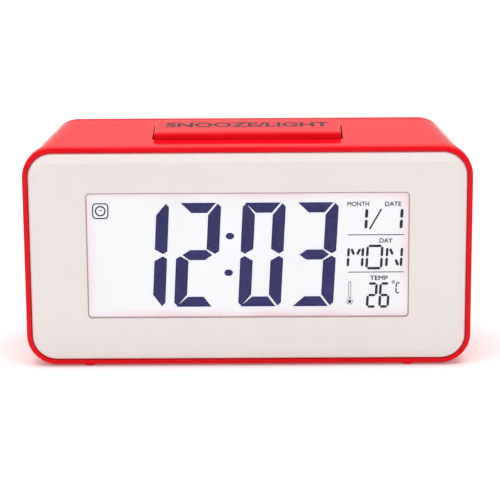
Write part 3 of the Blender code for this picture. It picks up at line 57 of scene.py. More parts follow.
BEVEL_ANGLE = math.radians(40)  # edges sharper than this are rounded
MERGE = 1e-7  # points closer than this are one
REACH = 5 * MM  # how far a cutter runs past the wall that it cuts
OVERLAP = 0.5 * MM  # how far one shape runs into another that it is one piece with
HAIR = 0.02 * MM  # clearance between two pieces that lie against each other
MM_IN_METRE = 1000  # for pattern scales
FINE_SIDES = 64  # flat sides of a large round shape
SMALL_SIDES = 32  # and of a small one
TINY_ROUND = 0.4 * MM  # rounds up to this size are two flat facets
STRAIGHT = math.radians(89.5)  # a line that turns by half angles over this has no corner
FILLET_SHARE = 0.49  # most of a side that one fillet takes
SUPPORT = 1 * MM  # strip beside a round corner that keeps the flat next to it flat
KEYS = ("mode", "set", "up", "down")
SCREWS = tuple(f"case_screw_{number}" for number in range(1, 5))

Point = tuple[float, float]
Corner = tuple[float, float, float]
Tree = bpy.types.NodeTree
Node = bpy.types.Node
Socket = bpy.types.NodeSocket
Shape = bmesh.types.BMesh
log = logging.getLogger("alarm_clock")


# ---------------------------------------------------------------- colour and nodes
def linear_colour(code: str) -> tuple[float, float, float, float]:
    """Turns an sRGB hex colour into linear light.

    Args:
        code: Six hex digits.

    Returns:
        Red, green, blue and alpha, each 0 to 1.
    """
    channels = []
    for start in (0, 2, 4):
        value = int(code[start : start + 2], 16) / 255
        channels.append(value / 12.92 if value <= 0.04045 else ((value + 0.055) / 1.055) ** 2.4)
    return (*channels, 1.0)


def feed(node: Node, inputs: dict[Any, Any]) -> None:
    """Sets a node's inputs, or links them where the value is another node's output.

    Args:
        node: The node.
        inputs: Value or output socket for each input, by name or number.
    """
    for name, value in inputs.items():
        if isinstance(value, Socket):
            node.id_data.links.new(value, node.inputs[name])
        else:
            node.inputs[name].default_value = value


def add_node(tree: Tree, kind: str, inputs: dict[Any, Any] | None = None, **settings: Any) -> Node:
    """Adds one node with its settings, values and links.

    Args:
        tree: The node tree that it joins.
        kind: The node's type name.
        inputs: What feeds its inputs, by name or number.
        **settings: The node's own properties.

    Returns:
        The new node.
    """
    made = tree.nodes.new(kind)
    for name, value in settings.items():
        setattr(made, name, value)
    feed(made, inputs or {})
    return made


class Space:
    """Object coordinates in a material, with the patterns that are drawn on them."""

    def __init__(self, tree: Tree) -> None:
        """Starts from the object's own coordinates, in metres."""
        self.tree = tree
        self.place = add_node(tree, "ShaderNodeTexCoord").outputs["Object"]

    def stretched(self, scale: Sequence[float]) -> Socket:
        """Coordinates scaled by a different amount along each axis."""
        return add_node(self.tree, "ShaderNodeMapping", {"Vector": self.place, "Scale": scale}).outputs[0]

    def noise(self, size: float, detail: float = 2, place: Socket | None = None) -> Socket:
        """Draws soft random grain.

        Args:
            size: Grain width in millimetres.
            detail: Octaves of finer grain on it.
            place: Coordinates other than the plain ones.

        Returns:
            A value round 0.5.
        """
        inputs = {"Vector": place or self.place, "Scale": MM_IN_METRE / size, "Detail": detail}
        return add_node(self.tree, "ShaderNodeTexNoise", inputs).outputs["Fac"]

    def ranged(self, value: Socket, low: float, high: float, start: float = 0.3, end: float = 0.7) -> Socket:
        """Moves a value from one range to another.

        Args:
            value: What is moved.
            low: Result at the start.
            high: Result at the end.
            start: Value that gives low.
            end: Value that gives high.

        Returns:
            The moved value.
        """
        numbers = {"Value": value, "From Min": start, "From Max": end, "To Min": low, "To Max": high}
        return add_node(self.tree, "ShaderNodeMapRange", numbers).outputs[0]

    def mixed(self, share: Socket | float, first: Any, second: Any) -> Socket:
        """Mixes two colours by a share."""
        inputs = {0: share, 6: first, 7: second}
        return add_node(self.tree, "ShaderNodeMix", inputs, data_type="RGBA").outputs[2]

    def bump(self, height: Socket, depth: float) -> Socket:
        """Turns a height pattern into a surface normal, with the pattern's depth in millimetres."""
        inputs = {"Height": height, "Strength": 1.0, "Distance": depth * MM}
        return add_node(self.tree, "ShaderNodeBump", inputs).outputs[0]

    def maths(self, operation: str, first: Any, second: Any = 0.0) -> Socket:
        """One arithmetic step on two values."""
        return add_node(self.tree, "ShaderNodeMath", {0: first, 1: second}, operation=operation).outputs[0]


# ---------------------------------------------------------------- finishes
# Pattern widths and depths in the finishes are millimetres.
@dataclass(frozen=True)
class Finish:
    """What a surface is made of, and how its material is built once."""

    name: str
    colour: str
    roughness: float

    def material(self) -> bpy.types.Material:
        """The finish's material, made the first time that it is asked for."""
        found = bpy.data.materials.get(self.name)
        if found is not None:
            return found
        made = bpy.data.materials.new(self.name)
        made.use_nodes = True
        shader = made.node_tree.nodes["Principled BSDF"]
        feed(shader, {"Base Color": linear_colour(self.colour), "Roughness": self.roughness})
        self.dress(shader, Space(made.node_tree))
        return made

    def dress(self, shader: Node, space: Space) -> None:
        """Adds the finish's own pattern to the shader.

        Args:
            shader: The material's shader.
            space: Its coordinates and patterns.
        """

    def varied(self, space: Space, size: float, share: float) -> Socket:
        """The base colour drifting a little darker in soft patches.

        Args:
            space: The material's coordinates.
            size: Patch width.
            share: How much darker the dark patches are.

        Returns:
            The colour.
        """
        base = linear_colour(self.colour)
        darker = (*(channel * (1 - share) for channel in base[:3]), 1)
        return space.mixed(space.ranged(space.noise(size), 0, 1), base, darker)


@dataclass(frozen=True)
class MouldedPlastic(Finish):
    """Injection-moulded plastic: even colour, a faint skin texture and a soft gloss that drifts a little."""

    ior: float = 1.5
    grain: float = 0.5
    relief: float = 0.004
    drift: float = 0.03
    patch: float = 24
    gloss_drift: float = 0.03
    gloss_patch: float = 15
    level: float = 0.5

    def dress(self, shader: Node, space: Space) -> None:
        """Colour patches, gloss patches and the mould's grain.

        Args:
            shader: The material's shader.
            space: Its coordinates and patterns.
        """
        low, high = self.roughness - self.gloss_drift, self.roughness + self.gloss_drift
        looks = {
            "IOR": self.ior,
            "Specular IOR Level": self.level,
            "Base Color": self.varied(space, self.patch, self.drift),
            "Roughness": space.ranged(space.noise(self.gloss_patch), low, high),
            "Normal": space.bump(space.noise(self.grain), self.relief),
        }
        feed(shader, looks)


@dataclass(frozen=True)
class PlatedMetal(Finish):
    """Plated or tinned metal: bright, with fine drawing lines along one axis and duller patches."""

    stretch: tuple[float, float, float] = (0.15, 1, 1)
    line: float = 0.3  # wider than real drawing lines, so that they show
    relief: float = 0.004
    patch: float = 5
    tarnish: float = 0.12

    def dress(self, shader: Node, space: Space) -> None:
        """Metal with drawing lines and patches of tarnish.

        Args:
            shader: The material's shader.
            space: Its coordinates and patterns.
        """
        lines = space.noise(self.line, 3, space.stretched(self.stretch))
        looks = {
            "Metallic": 1,
            "Base Color": self.varied(space, self.patch, self.tarnish),
            "Roughness": space.ranged(lines, self.roughness - 0.08, self.roughness + 0.1),
            "Normal": space.bump(lines, self.relief),
        }
        feed(shader, looks)


@dataclass(frozen=True)
class ClearPane(Finish):
    """A clear sheet: it lets the picture behind through, and reflects more at a slant."""

    mirror: float = 0.035  # share reflected straight back
    slant_gain: float = 12  # how many times more it reflects edge on
    ripple: float = 0.0015
    ripple_width: float = 9
    patch: float = 30

    def dress(self, shader: Node, space: Space) -> None:
        """Straight-through light mixed with gloss, because a flat pane doesn't bend the picture.

        Args:
            shader: The material's shader.
            space: Its coordinates and patterns.
        """
        tree = space.tree
        normal = space.bump(space.noise(self.ripple_width), self.ripple)
        through = add_node(tree, "ShaderNodeBsdfTransparent", {"Color": self.varied(space, self.patch, 0.01)})
        gloss = add_node(tree, "ShaderNodeBsdfGlossy", {"Roughness": self.roughness, "Normal": normal})
        slant = add_node(tree, "ShaderNodeLayerWeight", {"Blend": 0.5, "Normal": normal}).outputs["Facing"]
        steep = space.maths("POWER", slant, 5)
        share = space.ranged(steep, self.mirror, self.mirror * self.slant_gain, 0, 1)
        mixed = add_node(tree, "ShaderNodeMixShader", {0: share, 1: through.outputs[0], 2: gloss.outputs[0]})
        feed(tree.nodes["Material Output"], {"Surface": mixed.outputs[0]})
        tree.nodes.remove(shader)


@dataclass(frozen=True)
class BacklitGlass(Finish):
    """The display's rear glass, lit from behind: even white, with painted rosy light creeping in from its
    edges.
    """

    # Painted light: the rosy colour that the glass shows and glows with near its edges.
    painted_edge_light: str = "FFD6DE"
    glow: float = 1.15
    middle: Point = (0.0, 0.0)
    half: Point = (1.0, 1.0)
    spread: float = 3.0
    patch: float = 16
    grain: float = 0.8
    relief: float = 0.001

    def dress(self, shader: Node, space: Space) -> None:
        """Painted rosy light by the distance from the nearest edge, broken by soft patches of the light guide's
        dots.

        Args:
            shader: The material's shader.
            space: Its coordinates and patterns.
        """
        parts = add_node(space.tree, "ShaderNodeSeparateXYZ", {0: space.place})
        edges = []
        for output, centre, reach in ((0, self.middle[0], self.half[0]), (2, self.middle[1], self.half[1])):
            offset = space.maths("ABSOLUTE", space.maths("SUBTRACT", parts.outputs[output], centre))
            edges.append(space.maths("SUBTRACT", reach, offset))
        near = space.ranged(space.maths("MINIMUM", *edges), 1, 0, 0, self.spread * MM)
        edge_light_share = space.maths("MULTIPLY", near, space.ranged(space.noise(self.patch), 0.25, 1))
        colour = space.mixed(edge_light_share, linear_colour(self.colour), linear_colour(self.painted_edge_light))
        looks = {
            "Base Color": colour,
            "Emission Color": colour,
            "Emission Strength": self.glow,
            "Specular IOR Level": 0.1,
            "Normal": space.bump(space.noise(self.grain), self.relief),
        }
        feed(shader, looks)


@dataclass(frozen=True)
class PrintedInk(Finish):
    """Pad-printed ink or liquid-crystal dye: flat and even, with faint thin spots.

    The dye lets a little of the light behind it through, which is its glow.
    """

    edge: str = ""
    glow: float = 0
    patch: float = 6
    thin_spot: float = 2

    def dress(self, shader: Node, space: Space) -> None:
        """Two close colours in patches of the ink's own coverage.

        Args:
            shader: The material's shader.
            space: Its coordinates and patterns.
        """
        share = space.ranged(space.noise(self.patch), 0, 1)
        colour = space.mixed(share, linear_colour(self.colour), linear_colour(self.edge))
        low, high = self.roughness - 0.05, self.roughness + 0.05
        looks = {
            "Base Color": colour,
            "Emission Color": colour,
            "Emission Strength": self.glow,
            "Roughness": space.ranged(space.noise(self.thin_spot), low, high),
        }
        feed(shader, looks)


@dataclass(frozen=True)
class LitPaper(Finish):
    """White paper that is lit a little from below, so that shadows on it stay faint."""

    glow: float = 0.12
    fibre: float = 2

    def dress(self, shader: Node, space: Space) -> None:
        """Even white fibres with a weak glow.

        Args:
            shader: The material's shader.
            space: Its coordinates and patterns.
        """
        colour = self.varied(space, self.fibre, 0.01)
        looks = {
            "Base Color": colour,
            "Emission Color": colour,
            "Emission Strength": self.glow,
            "Specular IOR Level": 0,
        }
        feed(shader, looks)


@dataclass(frozen=True)
class CircuitBoard(Finish):
    """Glass-epoxy or paper board: solder mask with paler copper tracks under it."""

    track: str = "2F7A48"
    pitch: float = 2.5
    relief: float = 0.03

    def dress(self, shader: Node, space: Space) -> None:
        """Tracks are the joints of a wide brick pattern, standing a little proud.

        Args:
            shader: The material's shader.
            space: Its coordinates and patterns.
        """
        lying = {"Vector": space.place, "Rotation": (math.radians(90), 0, 0)}
        turned = add_node(space.tree, "ShaderNodeMapping", lying).outputs[0]
        scale = MM_IN_METRE / self.pitch / 2
        inputs = {"Vector": turned, "Scale": scale, "Mortar Size": 0.06, "Mortar Smooth": 0.2}
        tracks = add_node(space.tree, "ShaderNodeTexBrick", inputs).outputs["Fac"]
        colour = space.mixed(tracks, linear_colour(self.colour), linear_colour(self.track))
        feed(shader, {"Base Color": colour, "Normal": space.bump(tracks, self.relief)})


@dataclass(frozen=True)
class CellSleeve(Finish):
    """Printed shrink sleeve of a battery cell: a dark body, and a bright band at its plus end."""

    band: str = "C98A3C"
    scuff: str = "BCBCBC"
    scuff_share: float = 0.12
    band_from: float = 0.0
    toward: int = 1

    def dress(self, shader: Node, space: Space) -> None:
        """The band starts at one place along X, and the film has a smooth gloss with pale scuffs.

        Args:
            shader: The material's shader.
            space: Its coordinates and patterns.
        """
        along = add_node(space.tree, "ShaderNodeSeparateXYZ", {0: space.place}).outputs[0]
        inside = space.maths("GREATER_THAN", space.maths("MULTIPLY", along, self.toward), self.band_from)
        film = space.mixed(inside, linear_colour(self.colour), linear_colour(self.band))
        worn = space.mixed(space.ranged(space.noise(4), 0, self.scuff_share), film, linear_colour(self.scuff))
        feed(shader, {"Base Color": worn, "Normal": space.bump(space.noise(3), 0.01)})


@dataclass(frozen=True)
class RibbonCable(Finish):
    """Flat cable: round cores side by side along X, which give it shallow ridges."""

    pitch: float = 1.27
    # Groove colour: painted shade in a ribbon's grooves, and the real black stripes of the zebra strip.
    groove: str = "5F6368"

    def dress(self, shader: Node, space: Space) -> None:
        """One wave to a core, with painted shade darkening the grooves; on the zebra strip the same dark colour
        is its real black stripes.

        Args:
            shader: The material's shader.
            space: Its coordinates and patterns.
        """
        inputs = {"Vector": space.place, "Scale": MM_IN_METRE / self.pitch / 2 / math.pi}
        waves = add_node(space.tree, "ShaderNodeTexWave", inputs, wave_profile="SIN").outputs["Fac"]
        colour = space.mixed(waves, linear_colour(self.groove), linear_colour(self.colour))
        feed(shader, {"Base Color": colour, "Normal": space.bump(waves, 0.2)})


# Red ABS, moulded and lightly polished: a deep red under a soft white sheen.
RED_ABS = MouldedPlastic("red_moulded_abs", "EC0F1E", 0.16, grain=0.7, relief=0.002, level=0.09)
# The same red from a spark-eroded mould: the back's fine matt grain.
RED_TEXTURED = MouldedPlastic(
    "red_textured_abs", "E0101D", 0.45, grain=0.45, relief=0.02, drift=0.04, level=0.25
)
# Warm white ABS, moulded with a satin face.
WHITE_ABS = MouldedPlastic("white_satin_abs", "EFE5E2", 0.42, grain=0.6, relief=0.003, drift=0.015)
# White key caps, a little brighter and smoother.
KEY_ABS = MouldedPlastic("white_key_abs", "F1ECE8", 0.35, relief=0.003, drift=0.02)
# Plain grey-white ABS of an inside part: matt, with visible grain.
TRAY_ABS = MouldedPlastic("pale_grey_abs", "E2E2DE", 0.5, relief=0.008)
# Black nylon, moulded: a dull, slightly waxy black.
BLACK_NYLON = MouldedPlastic("black_moulded_nylon", "1B1B1D", 0.5, grain=0.3, relief=0.012, drift=0.2)
# Epoxy that was poured over a chip: a glossy black drop with soft waves.
BLACK_EPOXY = MouldedPlastic("black_cast_epoxy", "0E0E10", 0.3, grain=2.5, relief=0.05, drift=0.25)
# Heat-shrunk PVC film: glossy black, a little wrinkled.
CAPACITOR_SLEEVE = MouldedPlastic("black_shrink_sleeve", "15171C", 0.32, grain=1.5, relief=0.02, drift=0.2)
# Frosted acrylic plate: bluish white, with moulded dots.
LIGHT_GUIDE = MouldedPlastic("light_guide_acrylic", "F4F7FF", 0.2, ior=1.49, grain=1.2, relief=0.04)
# Rolled white film: bright and nearly even.
WHITE_FILM = MouldedPlastic("white_reflector_film", "FAFAFA", 0.45, grain=1.0, relief=0.003)
# Stretched grey film: smooth and dull.
POLARISER_BACK = MouldedPlastic("rear_polariser_film", "B9BDB4", 0.3, grain=1.0, relief=0.002)
# Cast resin full of phosphor: a pale, grainy yellow.
LED_RESIN = MouldedPlastic("phosphor_led_resin", "F2EFC8", 0.25, grain=0.3, relief=0.01, drift=0.1)
# Moulded silicone: dark grey and quite matt.
RUBBER = MouldedPlastic("silicone_rubber", "55585C", 0.7, ior=1.41, grain=0.4, relief=0.01, drift=0.12)
# Layered silicone: black conducting stripes between pale ones.
ZEBRA = RibbonCable("zebra_rubber", "C9C4C0", 0.6, pitch=0.5, groove="1D1D1F")
# Extruded PVC insulation: soft satin red, and the same in black.
LEAD_RED = MouldedPlastic("red_pvc_lead", "B71C1C", 0.42, grain=0.8, relief=0.01, drift=0.1)
LEAD_BLACK = MouldedPlastic("black_pvc_lead", "161616", 0.42, grain=0.8, relief=0.01, drift=0.2)
# Grey PVC ribbon: satin ridges, one to a core, with painted shade in the grooves between them.
RIBBON = RibbonCable("grey_ribbon_cable", "9B9FA5", 0.45)
# Etched boards: glossy green mask, and bare brown paper board.
BOARD_GREEN = CircuitBoard("green_glass_epoxy_board", "14512B", 0.3)
BOARD_BROWN = CircuitBoard("brown_paper_board", "8A6A3C", 0.5, track="A98A4E")
# Nickel on drawn steel: a bright, slightly warm metal.
STEEL = PlatedMetal("nickel_plated_steel", "C9CBCD", 0.25)
# Tin dipped on steel: greyer and softer than nickel.
TIN = PlatedMetal("tinned_steel", "B8BCC0", 0.32)
# Rolled brass sheet: yellow, with long rolling lines.
BRASS = PlatedMetal("rolled_brass", "C9A24B", 0.3, stretch=(0.1, 1, 1))
# Polished acrylic: clear, with a faint reflection.
LENS = ClearPane("clear_acrylic_lens", "FDFDFD", 0.06, mirror=0.02)
# Matt film and coated glass behind it: nearly no reflection of their own.
FRONT_FILM = ClearPane("front_polariser_film", "FBFBFC", 0.35, mirror=0.003)
FRONT_GLASS = ClearPane("indium_coated_glass", "FBFCFC", 0.1, mirror=0.003)
# Dark liquid crystal over a white light: a deep indigo, and nearly black where its bars are thin.
CRYSTAL_INK = PrintedInk("liquid_crystal_indigo", "14106A", 0.5, edge="1E1A7C", glow=0.7)
FINE_INK = PrintedInk("liquid_crystal_black", "0C0B26", 0.5, edge="12112E", glow=0.4)
# Liquid crystal that is only half turned: a pale grey.
GREY_INK = PrintedInk("liquid_crystal_grey", "8F8C95", 0.5, edge="A5A1A8")
# Pad-printed inks: a warm black on the bar, and white on the back.
LEGEND_INK = PrintedInk("pad_printed_black", "2A0D12", 0.5, edge="3A151A")
LABEL_INK = PrintedInk("pad_printed_white", "F3E9E6", 0.5, edge="E2D4D1")
# Painted shadow: a thin dusty-mauve ring round the lens that stands for the shadow gap between the lens and the
# bezel.
SHADOW_GAP_INK = PrintedInk("painted_shadow_gap_mauve", "B3999E", 0.5, edge="A98F95")


# ---------------------------------------------------------------- shapes
def rounded_rectangle(
    left: float, right: float, low: float, high: float, radius: float, steps: int
) -> list[Point]:
    """Points of a rectangle with round corners, anticlockwise.

    Args:
        left: Lowest first coordinate.
        right: Highest first coordinate.
        low: Lowest second coordinate.
        high: Highest second coordinate.
        radius: Corner radius.
        steps: Straight steps in each corner.

    Returns:
        Four corners of steps + 1 points each, and a point on the flat beside each end of a corner.
    """
    centres = (
        (right - radius, low + radius, -90),
        (right - radius, high - radius, 0),
        (left + radius, high - radius, 90),
        (left + radius, low + radius, 180),
    )
    beside = min(SUPPORT, (right - left - 2 * radius) / 4, (high - low - 2 * radius) / 4)
    points = []
    for u, v, start in centres:
        turns = [math.radians(start + 90 * step / steps) for step in range(steps + 1)]
        arc = [(u + radius * math.cos(turn), v + radius * math.sin(turn)) for turn in turns]
        first, last = turns[0], turns[-1]
        before = (arc[0][0] + beside * math.sin(first), arc[0][1] - beside * math.cos(first))
        after = (arc[-1][0] - beside * math.sin(last), arc[-1][1] + beside * math.cos(last))
        points += [before, *arc, after]
    return points


def filleted(corners: Sequence[Corner], steps: int = 6) -> list[Point]:
    """Rounds the corners of an open line.

    Args:
        corners: Each corner's two coordinates and its fillet radius.
        steps: Straight steps in each fillet.

    Returns:
        The line's points.
    """
    points = [corners[0][:2]]
    for before, here, after in zip(corners, corners[1:], corners[2:]):
        corner = Vector(here[:2])
        back, ahead = Vector(before[:2]) - corner, Vector(after[:2]) - corner
        half = back.angle(ahead) / 2
        if here[2] <= 0 or half > STRAIGHT:
            points.append(tuple(corner))
            continue
        reach = min(here[2] / math.tan(half), FILLET_SHARE * min(back.length, ahead.length))
        radius = reach * math.tan(half)
        centre = corner + (back.normalized() + ahead.normalized()).normalized() * radius / math.sin(half)
        start = corner + back.normalized() * reach - centre
        swing = start.angle_signed(corner + ahead.normalized() * reach - centre)
        count = steps if radius > TINY_ROUND else 2
        for step in range(count + 1):
            turn = Matrix.Rotation(-swing * step / count, 2)
            points.append(tuple(centre + turn @ start))
    points.append(corners[-1][:2])
    return points


def outward(shape: Shape) -> Shape:
    """The same closed shape with every face turned outwards.

    Args:
        shape: A closed shape.

    Returns:
        The shape itself.
    """
    bmesh.ops.recalc_face_normals(shape, faces=shape.faces)
    shape.normal_update()
    if shape.calc_volume(signed=True) < 0:
        bmesh.ops.reverse_faces(shape, faces=shape.faces)
    return shape


class Loft:
    """A skin that grows from one closed outline to the next, all with the same number of points."""

    def __init__(self, outline: Sequence[Vector]) -> None:
        """Starts from a circle of vertices moved to the first outline.

        Args:
            outline: The first outline's points.
        """
        self.shape = bmesh.new()
        self.slot = self.shape.verts.layers.int.new("slot")
        bmesh.ops.create_circle(self.shape, cap_ends=False, radius=1, segments=len(outline))
        for number, vert in enumerate(self.shape.verts):
            vert[self.slot] = number
            vert.co = outline[number]
        self.edge = list(self.shape.edges)

    def grow(self, outline: Sequence[Vector]) -> None:
        """Extrudes the open edge and moves it to the next outline.

        Args:
            outline: The next outline's points, in the same order.
        """
        made = bmesh.ops.extrude_edge_only(self.shape, edges=self.edge)["geom"]
        fresh = {item for item in made if isinstance(item, bmesh.types.BMVert)}
        edges = (item for item in made if isinstance(item, bmesh.types.BMEdge))
        self.edge = [edge for edge in edges if fresh.issuperset(edge.verts)]
        for vert in fresh:
            vert.co = outline[vert[self.slot]]

    def closed(self) -> Shape:
        """Joins ends that meet, fills ends that are open, and returns the solid."""
        bmesh.ops.remove_doubles(self.shape, verts=self.shape.verts, dist=MERGE)
        rims = [edge for edge in self.shape.edges if edge.is_boundary]
        bmesh.ops.holes_fill(self.shape, edges=rims)
        return outward(self.shape)


def lofted(outlines: Iterable[Sequence[Vector]]) -> Shape:
    """The solid through all the outlines. Where the last equals the first, it is a ring.

    Args:
        outlines: Closed outlines, all with the same number of points.

    Returns:
        A closed solid.
    """
    rows = list(outlines)
    loft = Loft(rows[0])
    for outline in rows[1:]:
        loft.grow(outline)
    return loft.closed()


def prism(outline: Sequence[Sequence[float]], travel: Sequence[float]) -> Shape:
    """The face through an outline, extruded along the vector travel.

    Args:
        outline: The face's corners.
        travel: How far and which way it is extruded.

    Returns:
        A closed solid.
    """
    shape = bmesh.new()
    face = shape.faces.new([shape.verts.new(point) for point in outline])
    moved = bmesh.ops.extrude_face_region(shape, geom=[face])["geom"]
    far = [item for item in moved if isinstance(item, bmesh.types.BMVert)]
    bmesh.ops.translate(shape, verts=far, vec=travel)
    return outward(shape)


def middle_of(node: str) -> Vector:
    """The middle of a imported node's box."""
    low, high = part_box(node)
    return (low + high) / 2


def block(low: Sequence[float], high: Sequence[float]) -> Shape:
    """A block between two corners.

    Args:
        low: Its lowest corner.
        high: Its highest corner.

    Returns:
        A closed solid.
    """
    shape = bmesh.new()
    low, high = Vector(low), Vector(high)
    place = Matrix.Translation((low + high) / 2) @ Matrix.Diagonal((*(high - low), 1))
    bmesh.ops.create_cube(shape, size=1, matrix=place)
    return shape


class Axis(Enum):
    """The way that a turned shape's height points, as the turn that takes +Z to it."""

    X = (90, "Y")
    Y = (-90, "X")
    Z = (0, "Z")

    def turn(self) -> Matrix:
        """The turn as a matrix."""
        return Matrix.Rotation(math.radians(self.value[0]), 4, self.value[1])


def turned(profile: Sequence[Point], base: Sequence[float], axis: Axis, sides: int = FINE_SIDES) -> Shape:
    """Spins a profile round its axis.

    Args:
        profile: (radius, height) points that start and end on the axis, or make a loop.
        base: Where height 0 on the axis lies.
        axis: Which way the height points.
        sides: Flat sides in a full turn.

    Returns:
        A closed solid.
    """
    shape = bmesh.new()
    corners = [shape.verts.new((radius, 0, height)) for radius, height in profile]
    edges = [shape.edges.new(pair) for pair in zip(corners, corners[1:])]
    if profile[0][0] > 0:
        edges.append(shape.edges.new((corners[-1], corners[0])))
    about = {"cent": (0, 0, 0), "axis": (0, 0, 1), "angle": 2 * math.pi}
    bmesh.ops.spin(shape, geom=corners + edges, steps=sides, use_merge=True, **about)
    bmesh.ops.remove_doubles(shape, verts=shape.verts, dist=MERGE)
    bmesh.ops.transform(shape, matrix=Matrix.Translation(base) @ axis.turn(), verts=shape.verts)
    return outward(shape)


def rod(base: Sequence[float], axis: Axis, length: float, radius: float, sides: int = SMALL_SIDES) -> Shape:
    """A plain round rod, for posts and for the cutters of round holes."""
    return turned([(0, 0), (radius, 0), (radius, length), (0, length)], base, axis, sides)


def gathered(shapes: Iterable[Shape]) -> Shape:
    """Several shapes in one, which uses them up.

    Args:
        shapes: What is gathered.

    Returns:
        One shape that holds them all.
    """
    whole = bmesh.new()
    for shape in shapes:
        mesh = bpy.data.meshes.new("shape")
        shape.to_mesh(mesh)
        shape.free()
        whole.from_mesh(mesh)
        bpy.data.meshes.remove(mesh)
    return whole


def lettering(words: str, width: float, height: float, thick: float, weight: float) -> Shape:
    """Raised sans-serif words, centred on the origin in the XZ plane, to be read from -Y.

    Args:
        words: What it says.
        width: Width of the whole line.
        height: Height of the capitals.
        thick: How far the letters stand along Y.
        weight: How much fatter the strokes are, as a share of the height.

    Returns:
        A closed shape for each letter.
    """
    curve = bpy.data.curves.new("lettering", "FONT")
    curve.body = words
    curve.size = 1
    curve.resolution_u = 4
    curve.extrude = 0.1
    curve.bevel_depth = weight
    curve.bevel_resolution = 0
    made = bpy.data.objects.new("lettering", curve)
    bpy.context.scene.collection.objects.link(made)
    bpy.context.view_layer.update()
    mesh = bpy.data.meshes.new_from_object(made.evaluated_get(bpy.context.evaluated_depsgraph_get()))
    shape = bmesh.new()
    shape.from_mesh(mesh)
    bpy.data.objects.remove(made)
    bpy.data.curves.remove(curve)
    bpy.data.meshes.remove(mesh)
    bmesh.ops.remove_doubles(shape, verts=shape.verts, dist=1e-5)
    low = Vector(min(vert.co[n] for vert in shape.verts) for n in range(3))
    high = Vector(max(vert.co[n] for vert in shape.verts) for n in range(3))
    size = high - low
    fit = Matrix.Diagonal((width / size.x, height / size.y, thick / size.z, 1))
    fit = fit @ Matrix.Translation(-(low + high) / 2)
    bmesh.ops.transform(shape, matrix=Matrix.Rotation(math.radians(90), 4, "X") @ fit, verts=shape.verts)
    return outward(shape)


# ---------------------------------------------------------------- pieces
class Piece:
    """A mesh object under construction: joined, cut and bevelled by modifiers, which are then applied."""

    def __init__(self, name: str, shape: Shape, *finishes: Finish) -> None:
        """Links the shape to the scene under its name.

        Args:
            name: The piece's name.
            shape: Its shape, which is used up.
            *finishes: Its finishes, in the order of its faces' material numbers.
        """
        self.helpers: list[bpy.types.Object] = []
        self.thing = self.linked(name, shape)
        for finish in finishes:
            self.thing.data.materials.append(finish.material())

    @staticmethod
    def linked(name: str, shape: Shape) -> bpy.types.Object:
        """An object in the scene that holds the shape, which is used up.

        Args:
            name: The object's name.
            shape: The shape.

        Returns:
            The object.
        """
        mesh = bpy.data.meshes.new(name)
        shape.to_mesh(mesh)
        shape.free()
        made = bpy.data.objects.new(name, mesh)
        bpy.context.scene.collection.objects.link(made)
        return made

    def combine(self, operation: str, shapes: Iterable[Shape]) -> "Piece":
        """Joins shapes to the piece or cuts them from it.

        Args:
            operation: UNION or DIFFERENCE.
            shapes: Shapes that don't touch each other.

        Returns:
            The piece itself.
        """
        helper = self.linked(f"{self.thing.name}_tool", gathered(shapes))
        modifier = self.thing.modifiers.new(operation.lower(), "BOOLEAN")
        modifier.operation = operation
        modifier.object = helper
        self.helpers.append(helper)
        return self

    def join(self, *shapes: Shape) -> "Piece":
        """Joins shapes to the piece."""
        return self.combine("UNION", shapes)

    def cut(self, *shapes: Shape) -> "Piece":
        """Cuts shapes from the piece."""
        return self.combine("DIFFERENCE", shapes)

    def soften(self, width: float, segments: int = 2) -> "Piece":
        """Rounds the sharp edges, as a mould does.

        Args:
            width: How far each edge is cut back.
            segments: Flat steps across the round.

        Returns:
            The piece itself.
        """
        modifier = self.thing.modifiers.new("soft_edges", "BEVEL")
        modifier.width = width
        modifier.segments = segments
        modifier.limit_method = "ANGLE"
        modifier.angle_limit = BEVEL_ANGLE
        modifier.miter_outer = "MITER_ARC"
        return self

    def finished(self, body: str, slot: str, *nodes: str) -> bpy.types.Object:
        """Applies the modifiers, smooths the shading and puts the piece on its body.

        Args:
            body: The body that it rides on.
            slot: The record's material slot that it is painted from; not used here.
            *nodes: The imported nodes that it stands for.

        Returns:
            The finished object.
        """
        thing = self.thing
        if thing.modifiers:
            graph = bpy.context.evaluated_depsgraph_get()
            graph.update()
            settled = bpy.data.meshes.new_from_object(thing.evaluated_get(graph))
            thing.modifiers.clear()
            rough = thing.data
            thing.data = settled
            bpy.data.meshes.remove(rough)
            settled.name = thing.name
            for helper in self.helpers:
                bpy.data.objects.remove(helper)
        thing.data.shade_smooth()
        thing.data.set_sharp_from_angle(angle=SHARP_ANGLE)
        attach(thing, body)
        if nodes:
            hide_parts(*nodes)
        log.info("%s: %d faces on %s", thing.name, len(thing.data.polygons), body)
        return thing


def dress(finish: Finish, slot: str, *nodes: str) -> None:
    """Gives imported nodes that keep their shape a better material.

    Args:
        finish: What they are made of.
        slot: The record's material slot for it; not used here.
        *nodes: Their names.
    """
    for name in nodes:
        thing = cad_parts[name]
        for place in thing.material_slots:
            place.material = finish.material()
        log.info("%s: %s", name, finish.name)


